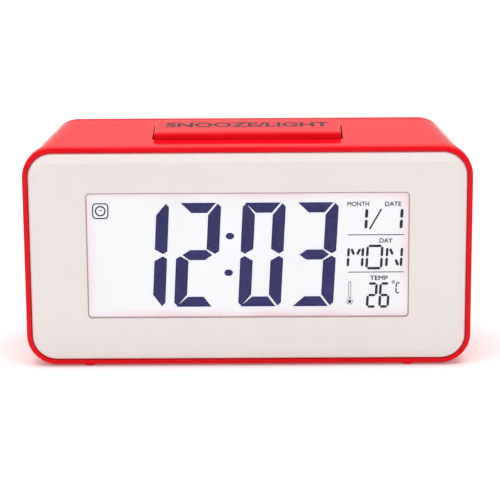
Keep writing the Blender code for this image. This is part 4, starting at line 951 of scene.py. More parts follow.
# ---------------------------------------------------------------- case
@dataclass
class CaseForm:
    """The outlines that the case, cover, bezel and bar share."""

    step: float = 0.5 * MM  # flange beyond the body behind it
    foot: float = 0.5 * MM
    flange_radius: float = 9.2 * MM
    flange_depth: float = 4 * MM
    body_radius: float = 8.6 * MM
    side_taper: float = 5.5 * MM  # how far each side draws in towards the back
    top_taper: float = 0.1 * MM
    corner_steps: int = 14
    half: float = field(init=False)
    top: float = field(init=False)
    front_y: float = field(init=False)
    back_y: float = field(init=False)
    part_y: float = field(init=False)

    def __post_init__(self) -> None:
        """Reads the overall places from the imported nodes."""
        low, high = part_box("case_shell")
        self.half, self.top = high.x, high.z
        self.front_y, self.part_y = low.y, high.y
        self.back_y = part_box("rear_cover")[1].y

    @property
    def flange_back(self) -> float:
        """Where the flange ends and the body starts."""
        return self.front_y + self.flange_depth

    def share(self, y: float) -> float:
        """How far y lies from the flange, 0, to the back face, 1."""
        return (y - self.flange_back) / (self.back_y - self.flange_back)

    def body_top(self, y: float) -> float:
        """Height of the body's sloping top at y."""
        return self.top - self.step - self.top_taper * self.share(y)

    def body(self, inset: float, y: float) -> list[Vector]:
        """The body's outline at y, drawn in by inset.

        Args:
            inset: How far inside the outer face.
            y: Where along the depth.

        Returns:
            The outline's points.
        """
        half = self.half - self.step - self.side_taper * self.share(y) - inset
        low, high = self.foot + self.step + inset, self.body_top(y) - inset
        radius = max(self.body_radius - inset, 0.6 * MM)
        points = rounded_rectangle(-half, half, low, high, radius, self.corner_steps)
        return [Vector((x, y, z)) for x, z in points]

    def flange(self, inset: float, y: float) -> list[Vector]:
        """The flange's outline at y, drawn in by inset.

        Args:
            inset: How far inside the outer face.
            y: Where along the depth.

        Returns:
            The outline's points.
        """
        half, radius = self.half - inset, self.flange_radius - inset
        low, high = self.foot + inset, self.top - inset
        points = rounded_rectangle(-half, half, low, high, radius, self.corner_steps)
        return [Vector((x, y, z)) for x, z in points]


@dataclass
class SnoozeBar:
    """The bar on top: a shallow cap on a flange, with a printed legend."""

    form: CaseForm
    proud: float = 2 * MM
    radius: float = 1.4 * MM
    draft: float = 0.3 * MM
    wall: float = 1.6 * MM
    edge_round: float = 0.9 * MM
    flange: float = 1.5 * MM
    flange_thick: float = 1 * MM
    corner_steps: int = 8
    legend: tuple[float, float] = (50 * MM, 5.9 * MM)
    legend_back: float = 1.8 * MM  # legend's middle behind the bar's middle
    legend_weight: float = 0.03
    ink: float = 0.04 * MM  # half of it sinks into the plastic

    def __post_init__(self) -> None:
        """Reads the bar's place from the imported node."""
        low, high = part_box("snooze_bar")
        self.half_x = high.x - self.flange
        self.half_y = (high.y - low.y) / 2 - self.flange
        self.middle_y = (high.y + low.y) / 2
        self.bottom = low.z

    def outline(self, grow: float, height: Callable[[float], float]) -> list[Vector]:
        """The bar's outline grown by an amount, with each point's height worked out from its y.

        Args:
            grow: How far outside the bar's sides.
            height: Height as a function of y.

        Returns:
            The outline's points.
        """
        half, deep = self.half_x + grow, self.half_y + grow
        low, high = self.middle_y - deep, self.middle_y + deep
        radius = max(self.radius + grow, 0.5 * MM)
        points = rounded_rectangle(-half, half, low, high, radius, self.corner_steps)
        return [Vector((x, y, height(y))) for x, y in points]

    def level(self, z: float) -> Callable[[float], float]:
        """A height that is the same everywhere."""
        return lambda _: z

    def sloped(self, above: float) -> Callable[[float], float]:
        """A height over the case's sloping top."""
        return lambda y: self.form.body_top(y) + above

    def opening(self, gap: float, low: float) -> Shape:
        """The cutter for the bar's opening in the case."""
        return lofted(self.outline(gap, self.level(z)) for z in (low, self.form.top + REACH))

    def build(self) -> None:
        """Makes the bar with its legend."""
        proud, above_flange = self.proud, self.bottom + self.flange_thick
        skirt = ((self.flange, self.bottom), (self.flange, above_flange), (0, above_flange))
        crest = [(0, -proud, 0), (-self.draft, proud, self.edge_round), (-2 * self.radius, proud, 0)]
        rows = [self.outline(grow, self.level(z)) for grow, z in skirt]
        rows += [self.outline(grow, self.sloped(above)) for grow, above in filleted(crest)]
        floor, ceiling = self.level(self.bottom - REACH), self.sloped(proud - self.wall)
        bar = Piece("snooze_bar_skin", lofted(rows), RED_ABS)
        bar.cut(lofted(self.outline(-self.wall, height) for height in (floor, ceiling)))
        bar.finished("snooze_bar", "red_abs", "snooze_bar")
        self.print_legend()

    def print_legend(self) -> None:
        """Lays the words on the bar's sloping top, read from the front."""
        width, height = self.legend
        words = lettering("SNOOZE/LIGHT", width, height, self.ink, self.legend_weight)
        y = self.middle_y + self.legend_back
        fall = math.atan(self.form.top_taper / (self.form.back_y - self.form.flange_back))
        lay = Matrix.Rotation(math.radians(-90) - fall, 4, "X")
        place = Matrix.Translation((0, y, self.form.body_top(y) + self.proud))
        bmesh.ops.transform(words, matrix=place @ lay, verts=words.verts)
        Piece("snooze_legend", words, LEGEND_INK).finished("snooze_bar", "black_nylon")


@dataclass
class CaseShell:
    """The red body with its front rim, feet and screw posts."""

    form: CaseForm
    bar: SnoozeBar
    rim: float = 1.75 * MM
    rim_round: float = 1.2 * MM
    bezel_gap: float = 0.15 * MM
    seat_depth: float = 3.5 * MM
    wall: float = 2 * MM
    post_radius: float = 3.3 * MM
    post_length: float = 17 * MM
    screw_hole: float = 3 * MM  # how far a post's hole runs past its screw
    foot_from_side: float = 19 * MM
    guide: float = 1.8 * MM  # the collar that guides the bar, with its gaps
    bar_gap: float = 0.3 * MM
    flange_gap: float = 0.2 * MM
    collar_drop: float = 1 * MM
    edge_soft: float = 0.2 * MM

    def profile(self) -> list[list[Vector]]:
        """Outlines round the wall, from the seat ledge, over the rim and back inside."""
        form = self.form
        inner = self.rim - self.bezel_gap
        seat = form.front_y + self.seat_depth
        front = filleted(
            [
                (inner, seat, 0),
                (inner, form.front_y, 0.2 * MM),
                (0, form.front_y, self.rim_round),
                (0, form.flange_back, 0.3 * MM),
                (form.step, form.flange_back, 0),
            ],
            6,
        )
        rows = [form.flange(inset, y) for inset, y in front[:-1]]
        back = filleted(
            [
                (0, form.flange_back, 0),
                (0, form.part_y, 0.25 * MM),
                (self.wall, form.part_y, 0.25 * MM),
                (self.wall, seat, 0),
            ],
            3,
        )
        rows += [form.body(inset, y) for inset, y in back]
        rows.append(rows[0])
        return rows

    def feet(self) -> list[Shape]:
        """Two small nubs under the front flange and two larger feet at the back."""
        form = self.form
        spots = (
            ((form.front_y + form.flange_back) / 2, 1.7 * MM, form.foot),
            (form.back_y - 8 * MM, 2.6 * MM, form.foot + form.step),
        )
        made = []
        for y, radius, height in spots:
            for side in (-1, 1):
                x = side * (form.half - self.foot_from_side)
                profile = filleted([(0, 0, 0), (radius, 0, 0.35 * MM), (radius, height + OVERLAP, 0)], 4)
                made.append(turned([*profile, (0, height + OVERLAP)], (x, y, 0), Axis.Z, SMALL_SIDES))
        return made

    def posts(self) -> list[Shape]:
        """The four posts that the case screws bite into."""
        made = []
        for name in SCREWS:
            middle = middle_of(name)
            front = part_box(name)[0].y - self.screw_hole
            made.append(rod((middle.x, front, middle.z), Axis.Y, self.post_length, self.post_radius))
        return made

    def build(self) -> None:
        """Makes the shell, with the bar's opening and its guide."""
        bar, shell = self.bar, Piece("case_shell_skin", lofted(self.profile()), RED_ABS)
        flange_top = bar.bottom + bar.flange_thick
        ends = (bar.level(flange_top + self.flange_gap), bar.sloped(-self.collar_drop))
        shell.join(*self.posts(), *self.feet(), lofted(bar.outline(self.guide, height) for height in ends))
        shell.cut(bar.opening(self.bar_gap, flange_top - REACH))
        shell.soften(self.edge_soft)
        shell.finished(CASE, "red_abs", "case_shell")


# ---------------------------------------------------------------- bezel and display
@dataclass
class Window:
    """The display window in the bezel, and the artwork's place behind it."""

    width: float = 97 * MM
    height: float = 39.1 * MM
    radius: float = 1.2 * MM
    rise: float = 0.75 * MM
    corner_steps: int = 14

    def __post_init__(self) -> None:
        """Reads the bezel's place."""
        low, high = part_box("front_bezel")
        self.face_y = low.y
        self.middle_z = (low.z + high.z) / 2 + self.rise

    def outline(self, grow: float, y: float) -> list[Vector]:
        """The window's outline at y, grown by an amount.

        Args:
            grow: How far outside the window's edge.
            y: Where along the depth.

        Returns:
            The outline's points.
        """
        half, tall = self.width / 2 + grow, self.height / 2 + grow
        low, high = self.middle_z - tall, self.middle_z + tall
        radius = max(self.radius + grow, 0.4 * MM)
        points = rounded_rectangle(-half, half, low, high, radius, self.corner_steps)
        return [Vector((x, y, z)) for x, z in points]


@dataclass
class FrontBezel:
    """The near-white front with its soft sloped border."""

    form: CaseForm
    window: Window
    rim: float = 1.75 * MM
    slope: float = 2.8 * MM
    depth: float = 1.5 * MM
    wall: float = 1.8 * MM
    skirt: float = 1.6 * MM
    lip: float = 0.9 * MM
    lip_round: float = 0.3 * MM
    crease: float = 1.5 * MM  # fillet where the face meets the slope
    rabbet: float = 2 * MM
    skirt_past_tray: float = 2.5 * MM
    post_radius: float = 2.5 * MM

    def build(self) -> None:
        """Makes the bezel as one ring: the window's lip, the face and slope, the skirt and the back."""
        y = self.window.face_y
        skirt_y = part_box("display_tray")[0].y + self.skirt_past_tray
        face = filleted(
            [
                (self.rim + self.slope + 3 * MM, y, 0),
                (self.rim + self.slope, y, self.crease),
                (self.rim + self.slope / 6, y + self.depth * 5 / 6, 1.2 * MM),
                (self.rim, y + self.depth + self.slope / 6, 0.3 * MM),
                (self.rim, skirt_y, 0),
            ],
            7,
        )
        lip = filleted([(0, y + self.lip, 0), (0, y, self.lip_round), (2 * MM, y, 0)], 4)
        rows = [self.window.outline(grow, place) for grow, place in lip[:-1]]
        rows += [self.form.flange(inset, place) for inset, place in face[1:]]
        inner = ((self.rim + self.skirt, skirt_y), (self.rim + self.skirt, y + self.wall + self.depth))
        rows += [self.form.flange(inset, place) for inset, place in inner]
        rows.append(self.form.flange(self.rim + self.slope + self.skirt / 2, y + self.wall))
        rows += [self.window.outline(self.rabbet, y + deep) for deep in (self.wall, self.lip)]
        rows.append(rows[0])
        posts = []
        start = y + self.wall - OVERLAP
        for name in ("board_screw_1", "board_screw_2"):
            middle, length = middle_of(name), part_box(name)[0].y - start - OVERLAP
            for x in (middle.x, -middle.x):
                posts.append(rod((x, start, middle.z), Axis.Y, length, self.post_radius))
        bezel = Piece("front_bezel_skin", lofted(rows), WHITE_ABS)
        bezel.join(*posts)
        bezel.finished(CASE, "white_abs", "front_bezel")


# Lit bars of a seven-bar figure, in the usual order from the top bar round to the middle one.
FIGURES = {"0": "abcdef", "1": "bc", "2": "abged", "3": "abgcd", "6": "afgedc"}
# Lit bars of a letter, which also has short slanting bars h and j above the middle and k below it.
LETTERS = {"M": "efbchj", "O": "abcdef", "N": "efbchk", "C": "afed"}


@dataclass
class LargeFigure:
    """One tall figure made of fat bars with mitred ends."""

    middle: float
    lit: str
    half_width: float = 6.5 * MM
    half_height: float = 16.35 * MM
    upright: float = 3.85 * MM  # bar widths
    level: float = 3.2 * MM
    point: float = 1.3 * MM  # how far a mitre's tip stands in from the corner
    gap: float = 0.65 * MM
    lean: float = math.radians(3)

    def bars(self) -> dict[str, list[Point]]:
        """Each bar's outline round the figure's middle, before it leans."""
        w, h, t, s, p, g = self.half_width, self.half_height, self.upright, self.level, self.point, self.gap
        side = [(w, h - p), (w - 0.8 * p, h - g / 3), (w - t, h - s - g)]
        side += [(w - t, s / 2 + g / 3), (w - p, g / 2), (w, g + 0.5 * MM)]
        head = [(-w + g, h), (w - 2.4 * g, h), (w - t - 0.4 * g, h - s), (-w + t + 0.4 * g, h - s)]
        half = s / 2
        belt = [(-w + 1.9 * MM, 0), (-w + t + 0.5 * g, half), (w - t - 0.3 * g, half), (w - 2 * MM, 0)]
        belt += [(w - t - 0.5 * g, -half), (-w + t + 0.3 * g, -half)]
        return {
            "a": head,
            "b": side,
            "c": [(x, -z) for x, z in side],
            "d": [(x, -z) for x, z in head],
            "e": [(-x, -z) for x, z in side],
            "f": [(-x, z) for x, z in side],
            "g": belt,
        }

    def outlines(self) -> list[list[Point]]:
        """The lit bars in the artwork's coordinates."""
        shapes = self.bars()
        slant = math.tan(self.lean)
        return [[(self.middle + x + z * slant, z) for x, z in shapes[name]] for name in self.lit]


@dataclass
class SmallFigure:
    """A small figure or letter made of thin bars with pointed ends."""

    middle: Point
    lit: str
    half_width: float
    half_height: float
    stroke: float = 0.65 * MM
    gap: float = 0.12 * MM
    lean: float = math.radians(3)

    def ends(self) -> dict[str, tuple[Point, Point]]:
        """Where each bar's middle line starts and ends."""
        w, h = self.half_width, self.half_height
        near = w - 0.9 * self.stroke
        return {
            "a": ((-w, h), (w, h)),
            "b": ((w, h), (w, 0)),
            "c": ((w, 0), (w, -h)),
            "d": ((-w, -h), (w, -h)),
            "e": ((-w, 0), (-w, -h)),
            "f": ((-w, h), (-w, 0)),
            "g": ((-w, 0), (w, 0)),
            "h": ((-near, h * 0.92), (-near / 4, h * 0.18)),
            "j": ((near, h * 0.92), (near / 4, h * 0.18)),
            "k": ((near / 4, -h * 0.18), (near, -h * 0.92)),
        }

    def outlines(self) -> list[list[Point]]:
        """The lit bars in the artwork's coordinates."""
        places = self.ends()
        slant = math.tan(self.lean)
        made = []
        for name in self.lit:
            outline = bar_outline(*places[name], self.stroke, self.gap)
            made.append([(self.middle[0] + x + z * slant, self.middle[1] + z) for x, z in outline])
        return made


def bar_outline(start: Point, end: Point, stroke: float, gap: float) -> list[Point]:
    """A thin bar with pointed ends.

    Args:
        start: Where its middle line starts.
        end: Where it ends.
        stroke: Its width.
        gap: How far each tip stays short of its end.

    Returns:
        Six corners.
    """
    first, last = Vector(start), Vector(end)
    along = (last - first).normalized()
    across = Vector((-along.y, along.x)) * stroke / 2
    tip, shoulder = along * gap, along * (gap + stroke / 2)
    corners = (first + tip, first + shoulder - across, last - shoulder - across, last - tip)
    return [tuple(point) for point in (*corners, last - shoulder + across, first + shoulder + across)]


@dataclass
class Display:
    """Lens, glass and liquid-crystal artwork. Artwork sizes are millimetres from the picture's middle."""

    window: Window
    drop: float = 0.75 * MM  # the picture sits low, since it is seen from above through a deep window
    ink: float = 0.05 * MM
    small_word: float = 1.45 * MM
    word_weight: float = 0.025
    # The painted shadow ring in the window's edge: where it starts, and its width.
    shadow_gap_start: float = 0.3 * MM  # behind the bezel's face
    shadow_gap_thick: float = 0.28 * MM

    def __post_init__(self) -> None:
        """The ink lies in the gap between the two glasses."""
        front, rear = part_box("lcd_front_glass"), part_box("lcd_rear_glass")
        self.ink_y = (front[1].y + rear[0].y) / 2 - self.ink / 2
        self.middle_z = self.window.middle_z - self.drop

    def placed(self, outline: Iterable[Point]) -> list[Vector]:
        """An outline of the artwork, moved into the gap between the glasses."""
        return [Vector((x, self.ink_y, self.middle_z + z)) for x, z in outline]

    def plates(self, outlines: Iterable[Iterable[Point]]) -> list[Shape]:
        """Thin plates of liquid crystal with these outlines."""
        return [prism(self.placed(outline), (0, self.ink, 0)) for outline in outlines]

    def frame_between(self, outer: Sequence[Vector], inner: Sequence[Vector], depth: float) -> Shape:
        """A solid ring between two outlines with the same number of points, depth thick along Y.

        Args:
            outer: The outer outline.
            inner: The inner outline.
            depth: Its thickness.

        Returns:
            A closed ring.
        """
        back = Vector((0, depth, 0))
        inner_back, outer_back = ([point + back for point in line] for line in (inner, outer))
        return lofted([outer, inner, inner_back, outer_back, outer])

    def ring(self, outer: Sequence[Point], inner: Sequence[Point]) -> Shape:
        """A thin plate of liquid crystal between two outlines."""
        return self.frame_between(self.placed(outer), self.placed(inner), self.ink)

    def words(self, text: str, x: float, z: float, width: float) -> Shape:
        """A printed word, centred at its place.

        Args:
            text: The word.
            x: Middle from the picture's middle, in millimetres.
            z: Height of its middle, in millimetres.
            width: Its width in millimetres.

        Returns:
            The letters.
        """
        shape = lettering(text, width * MM, self.small_word, self.ink, self.word_weight)
        place = Vector((x * MM, self.ink_y + self.ink / 2, self.middle_z + z * MM))
        bmesh.ops.translate(shape, verts=shape.verts, vec=place)
        return shape

    def ellipse(self, x: float, z: float, wide: float, high: float, steps: int = SMALL_SIDES) -> list[Point]:
        """Points of an ellipse, given in millimetres."""
        turns = [2 * math.pi * step / steps for step in range(steps)]
        return [((x + wide * math.cos(turn)) * MM, (z + high * math.sin(turn)) * MM) for turn in turns]

    def stroke(self, start: Point, end: Point, width: float) -> list[Point]:
        """A pointed line between two places, given in millimetres."""
        first, last = ((x * MM, z * MM) for x, z in (start, end))
        return bar_outline(first, last, width * MM, 0)

    def rule(self, left: float, right: float, z: float, width: float) -> list[Point]:
        """A level line, given in millimetres."""
        low, high = (z - width / 2) * MM, (z + width / 2) * MM
        return [(left * MM, low), (right * MM, low), (right * MM, high), (left * MM, high)]

    def show(self, name: str, shapes: Iterable[Shape], finish: Finish) -> None:
        """Adds one piece of artwork."""
        Piece(name, gathered(shapes), finish).finished(CASE, "display_glass")

    def build(self) -> None:
        """Dresses the panes and draws the artwork."""
        self.build_panes()
        self.build_clock_figures()
        self.build_alarm_sign()
        self.build_date()
        self.build_day()
        self.build_temperature()

    def build_panes(self) -> None:
        """The lens with rounded edges, a thin painted-shadow ring that lines the window, and the panes behind
        it.
        """
        window = self.window
        half = (window.width / 2, window.height / 2)
        seen = BacklitGlass("backlit_display_glass", "FFFDFE", 0.5, middle=(0, self.middle_z), half=half)
        low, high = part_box("display_lens")
        grow = high.x - window.width / 2
        shape = lofted(window.outline(grow, y) for y in (low.y, high.y))
        lens = Piece("display_lens_skin", shape, LENS)
        lens.soften(0.1 * MM)
        lens.finished(CASE, "clear_acrylic", "display_lens")
        # Painted shadow: a thin mauve ring stands for the shadow gap between the lens and the bezel.
        start = window.face_y + self.shadow_gap_start
        outer, inner = (window.outline(-HAIR - thick, start) for thick in (0, self.shadow_gap_thick))
        shadow_gap_ring = self.frame_between(outer, inner, low.y - start - HAIR)
        Piece("lens_painted_shadow_gap", shadow_gap_ring, SHADOW_GAP_INK).finished(CASE, "clear_acrylic")
        dress(FRONT_FILM, "polariser", "front_polariser")
        dress(FRONT_GLASS, "display_glass", "lcd_front_glass")
        dress(seen, "display_glass", "lcd_rear_glass")
        dress(POLARISER_BACK, "polariser", "rear_polariser")
        dress(LIGHT_GUIDE, "light_guide", "light_guide")
        dress(WHITE_FILM, "white_film", "reflector_sheet")
        dress(TRAY_ABS, "tray_abs", "display_tray")
        dress(LED_RESIN, "led_white", "backlight_led_left", "backlight_led_right")
        dress(ZEBRA, "silicone_rubber", "zebra_strip")

    def build_clock_figures(self) -> None:
        """The time in tall leaning figures, with two dots between hours and minutes."""
        figures = zip((-30.9, -15.25, 4.2, 20.1), "1203")
        shapes = []
        for middle, figure in figures:
            shapes += self.plates(LargeFigure(middle * MM, FIGURES[figure]).outlines())
        dots = [self.ellipse(x, z, 1.3, 1.05) for x, z in ((-5.4, 5.9), (-5.9, -5.6))]
        self.show("clock_figures", [*shapes, *self.plates(dots)], CRYSTAL_INK)

    def build_alarm_sign(self) -> None:
        """A clock face in a rounded square, the sign that the alarm is set."""
        x, z = -44.35, 13.9
        frame_rings = [
            [(x + u, z + v) for u, v in rounded_rectangle(-half, half, -half, half, radius, 6)]
            for half, radius in ((2.48, 1.2), (2.1, 0.85))
        ]
        outer, inner = ([(u * MM, v * MM) for u, v in ring] for ring in frame_rings)
        face = self.ring(self.ellipse(x, z, 1.65, 1.65), self.ellipse(x, z, 1.2, 1.2))
        tips = ((x - 0.5, z + 0.45), (x + 0.6, z + 0.4))
        hands = self.plates(self.stroke((x, z), tip, 0.28) for tip in tips)
        self.show("alarm_sign", [self.ring(outer, inner), face, *hands], FINE_INK)

    def build_date(self) -> None:
        """Month and day of the month, with their words above them."""
        shapes = []
        for x in (35.7, 46.3):
            one = SmallFigure((x * MM, 11.1 * MM), "bc", 0, 3.3 * MM, 0.95 * MM, 0.15 * MM)
            shapes += self.plates(one.outlines())
        shapes += self.plates([self.stroke((36.6, 7.7), (40.3, 14.3), 0.5)])
        self.show("date_figures", shapes, FINE_INK)
        printed = [self.words("MONTH", 33.25, 15.75, 6.6), self.words("DATE", 43.75, 15.75, 4.9)]
        printed += [self.words("DAY", 41.7, 4.3, 4.0), self.words("TEMP", 39.6, -7.45, 5.4)]
        self.show("printed_words", printed, FINE_INK)

    def build_day(self) -> None:
        """The day of the week in three letters, between two thin rules."""
        shapes = []
        places = (("M", 32.45, 2.15, 3.1), ("O", 38.2, 2.2, 3.5), ("N", 44.15, 2.2, 3.1))
        for letter, x, wide, high in places:
            size = (wide * MM, high * MM, 0.8 * MM, 0.12 * MM)
            figure = SmallFigure((x * MM, -0.9 * MM), LETTERS[letter], *size)
            shapes += self.plates(figure.outlines())
        self.show("day_letters", shapes, FINE_INK)
        upper = self.plates([self.rule(30.2, 47.1, 6.1, 0.28)])
        lower = self.plates([self.rule(30.2, 47.1, -5.6, 0.28)])
        self.show("upper_rule", upper, FINE_INK)
        self.show("lower_rule", lower, GREY_INK)

    def build_temperature(self) -> None:
        """The temperature with its thermometer sign and degree mark."""
        shapes = []
        for figure, x in (("2", 37.5), ("6", 41.25)):
            size = (1.25 * MM, 3.65 * MM, 0.8 * MM, 0.1 * MM)
            small = SmallFigure((x * MM, -12.9 * MM), FIGURES[figure], *size)
            shapes += self.plates(small.outlines())
        size = (0.55 * MM, 1.55 * MM, 0.42 * MM, 0.04 * MM)
        degrees = SmallFigure((45.4 * MM, -10.6 * MM), LETTERS["C"], *size)
        shapes += self.plates(degrees.outlines())
        shapes.append(self.ring(self.ellipse(44.0, -8.8, 0.5, 0.5), self.ellipse(44.0, -8.8, 0.25, 0.25)))
        shapes += self.plates([self.ellipse(30.8, -14.9, 0.5, 0.5)])
        self.show("temperature_figures", shapes, FINE_INK)
        tube = []
        for half, high, radius in ((0.42, 2.6, 0.4), (0.24, 2.4, 0.22)):
            wall = rounded_rectangle(-half, half, -high, high, radius, 6)
            tube.append([((30.8 + u) * MM, (-11.2 + v) * MM) for u, v in wall])
        bulb = self.ring(self.ellipse(30.8, -14.9, 0.95, 0.95), self.ellipse(30.8, -14.9, 0.78, 0.78))
        self.show("thermometer_sign", [self.ring(*tube), bulb], GREY_INK)


# ---------------------------------------------------------------- back
@dataclass
class RearCover:
    """The back: battery bay, screw wells, key holes, slide-switch slot and vents, with printed labels."""

    form: CaseForm
    wall: float = 2 * MM
    edge_round: float = 1.6 * MM
    spigot_depth: float = 1.8 * MM
    spigot_thick: float = 1.4 * MM
    clearance: float = 0.15 * MM
    bay_wall: float = 1.6 * MM
    bay_floor: float = 1.2 * MM
    bay_half: float = 26 * MM
    bay_low: float = 5.8 * MM
    bay_high: float = 41.3 * MM
    bay_floor_y: float = 7.5 * MM
    vent_width: float = 1.6 * MM
    vent_pitch: float = 3.5 * MM
    vent_circle: float = 9.5 * MM
    label_rise: float = 6.2 * MM
    label_height: float = 1.9 * MM
    label_weight: float = 0.015
    ink: float = 0.05 * MM
    boss_radius: float = 3.3 * MM
    well_radius: float = 2.6 * MM
    well_depth: float = 4 * MM
    seat_thick: float = 2 * MM
    shank_hole: float = 1.5 * MM
    ring_gap: float = 0.3 * MM  # round the sounder, whose ring has this wall and height
    ring_wall: float = 1.2 * MM
    ring_height: float = 2.3 * MM
    key_hole: float = 3.9 * MM
    slider_gap: float = 0.3 * MM
    slider_travel: float = 3 * MM
    pin_hole: float = 0.9 * MM
    pin_hole_length: float = 2.6 * MM
    hinge_in: float = 1.5 * MM
    hinge_up: float = 1.8 * MM
    edge_soft: float = 0.18 * MM

    def sections(self) -> list[list[Vector]]:
        """Outlines from the inner face, round the spigot and the skirt, to the round outer edge."""
        form = self.form
        inside = form.back_y - self.wall
        out = self.wall + self.clearance
        inner = out + self.spigot_thick
        deep = form.part_y - self.spigot_depth
        start = form.part_y + 0.2 * MM
        lines = ((inner, inside), (inner, deep), (out, deep), (out, start))
        chamfer = 0.15 * MM
        seam = [(chamfer, start, 0), (0, start + chamfer, 0)]
        edge = filleted([*seam, (0, form.back_y, self.edge_round), (4 * MM, form.back_y, 0)], 8)
        return [form.body(inset, y) for inset, y in (*lines, *edge)]

    def vents(self, x: float, z: float) -> list[Shape]:
        """Five slots of different lengths that fill a circle.

        Args:
            x: Middle of the circle.
            z: Height of its middle.

        Returns:
            A cutter for each slot.
        """
        made = []
        for row in range(-2, 3):
            offset = row * self.vent_pitch
            half = math.sqrt(self.vent_circle**2 - offset**2)
            high = self.vent_width / 2
            slot = rounded_rectangle(x - half, x + half, z + offset - high, z + offset + high, high * 0.98, 6)
            start = self.form.back_y - self.wall - REACH
            made.append(prism([(u, start, v) for u, v in slot], (0, 3 * REACH, 0)))
        return made

    def build(self) -> None:
        """Makes the cover, then its labels."""
        back = self.form.back_y
        inside = back - self.wall + OVERLAP
        cover = Piece("rear_cover_skin", lofted(self.sections()), RED_TEXTURED)
        bay = block(
            (-self.bay_half - self.bay_wall, self.bay_floor_y - self.bay_floor, self.bay_low - self.bay_wall),
            (self.bay_half + self.bay_wall, inside, self.bay_high + self.bay_wall),
        )
        seat = back - self.well_depth
        under = seat - self.seat_thick
        bosses, wells, shanks = [], [], []
        for x, z in (middle_of(name).xz for name in SCREWS):
            bosses.append(rod((x, under, z), Axis.Y, inside - under, self.boss_radius))
            wells.append(rod((x, seat, z), Axis.Y, 2 * REACH, self.well_radius, FINE_SIDES))
            shanks.append(rod((x, seat - REACH, z), Axis.Y, 2 * REACH, self.shank_hole))
        cover.join(bay, *bosses)
        low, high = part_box("piezo_sounder")
        x, z = middle_of("piezo_sounder").xz
        near = (high.x - low.x) / 2 + self.ring_gap
        far = near + self.ring_wall
        ring = [(near, 0), (far, 0), (far, self.ring_height), (near, self.ring_height)]
        cover.join(turned(ring, (x, inside - self.ring_height, z), Axis.Y))
        floor = (-self.bay_half, self.bay_floor_y, self.bay_low)
        cover.cut(block(floor, (self.bay_half, back + REACH, self.bay_high)))
        holes = []
        for middle in (middle_of(f"{key}_button") for key in KEYS):
            start = (middle.x, back - 2 * self.wall, middle.z)
            holes.append(rod(start, Axis.Y, 2 * REACH, self.key_hole, FINE_SIDES))
        low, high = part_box("light_switch_slider")
        gap = Vector((self.slider_gap, 0, self.slider_gap))
        slot = block(low - gap, Vector((high.x + self.slider_travel, back + REACH, high.z)) + gap)
        cover.cut(*holes, slot)
        cover.cut(*self.vents(x, z), *self.vents(-x, z))
        cover.cut(*wells)
        cover.cut(*shanks)
        pins = []
        for side in (-1, 1):
            x = side * (self.bay_half + self.pin_hole_length / 2) - self.pin_hole_length / 2
            start = (x, back - self.hinge_in, self.bay_low + self.hinge_up)
            pins.append(rod(start, Axis.X, self.pin_hole_length, self.pin_hole))
        cover.cut(*pins)
        cover.soften(self.edge_soft)
        cover.finished(CASE, "red_abs", "rear_cover")
        self.print_labels()

    def label(self, words: str, x: float, z: float, height: float) -> Shape:
        """A printed word on the back, read from behind.

        Args:
            words: What it says.
            x: Where its middle is.
            z: Height of its middle.
            height: Height of its capitals.

        Returns:
            The letters.
        """
        width = height * 0.78 * len(words)
        shape = lettering(words, width, height, self.ink, self.label_weight)
        place = Matrix.Translation((x, self.form.back_y + self.ink / 2, z))
        bmesh.ops.transform(shape, matrix=place @ Matrix.Rotation(math.pi, 4, "Z"), verts=shape.verts)
        return shape

    def print_labels(self) -> None:
        """One word above each key, and OFF and ON at the slide switch."""
        shapes = []
        for key in KEYS:
            middle = middle_of(f"{key}_button")
            shapes.append(self.label(key.upper(), middle.x, middle.z + self.label_rise, self.label_height))
        middle = middle_of("light_switch_slider")
        small = self.label_height * 0.8
        for words, x in (("OFF", middle.x - 0.5 * MM), ("ON", middle.x + 3.5 * MM)):
            shapes.append(self.label(words, x, middle.z - 3.6 * MM, small))
        x = middle.x + self.slider_travel / 2
        shapes.append(self.label("LIGHT", x, middle.z + self.label_rise, self.label_height))
        Piece("rear_labels", gathered(shapes), LABEL_INK).finished(CASE, "white_abs")


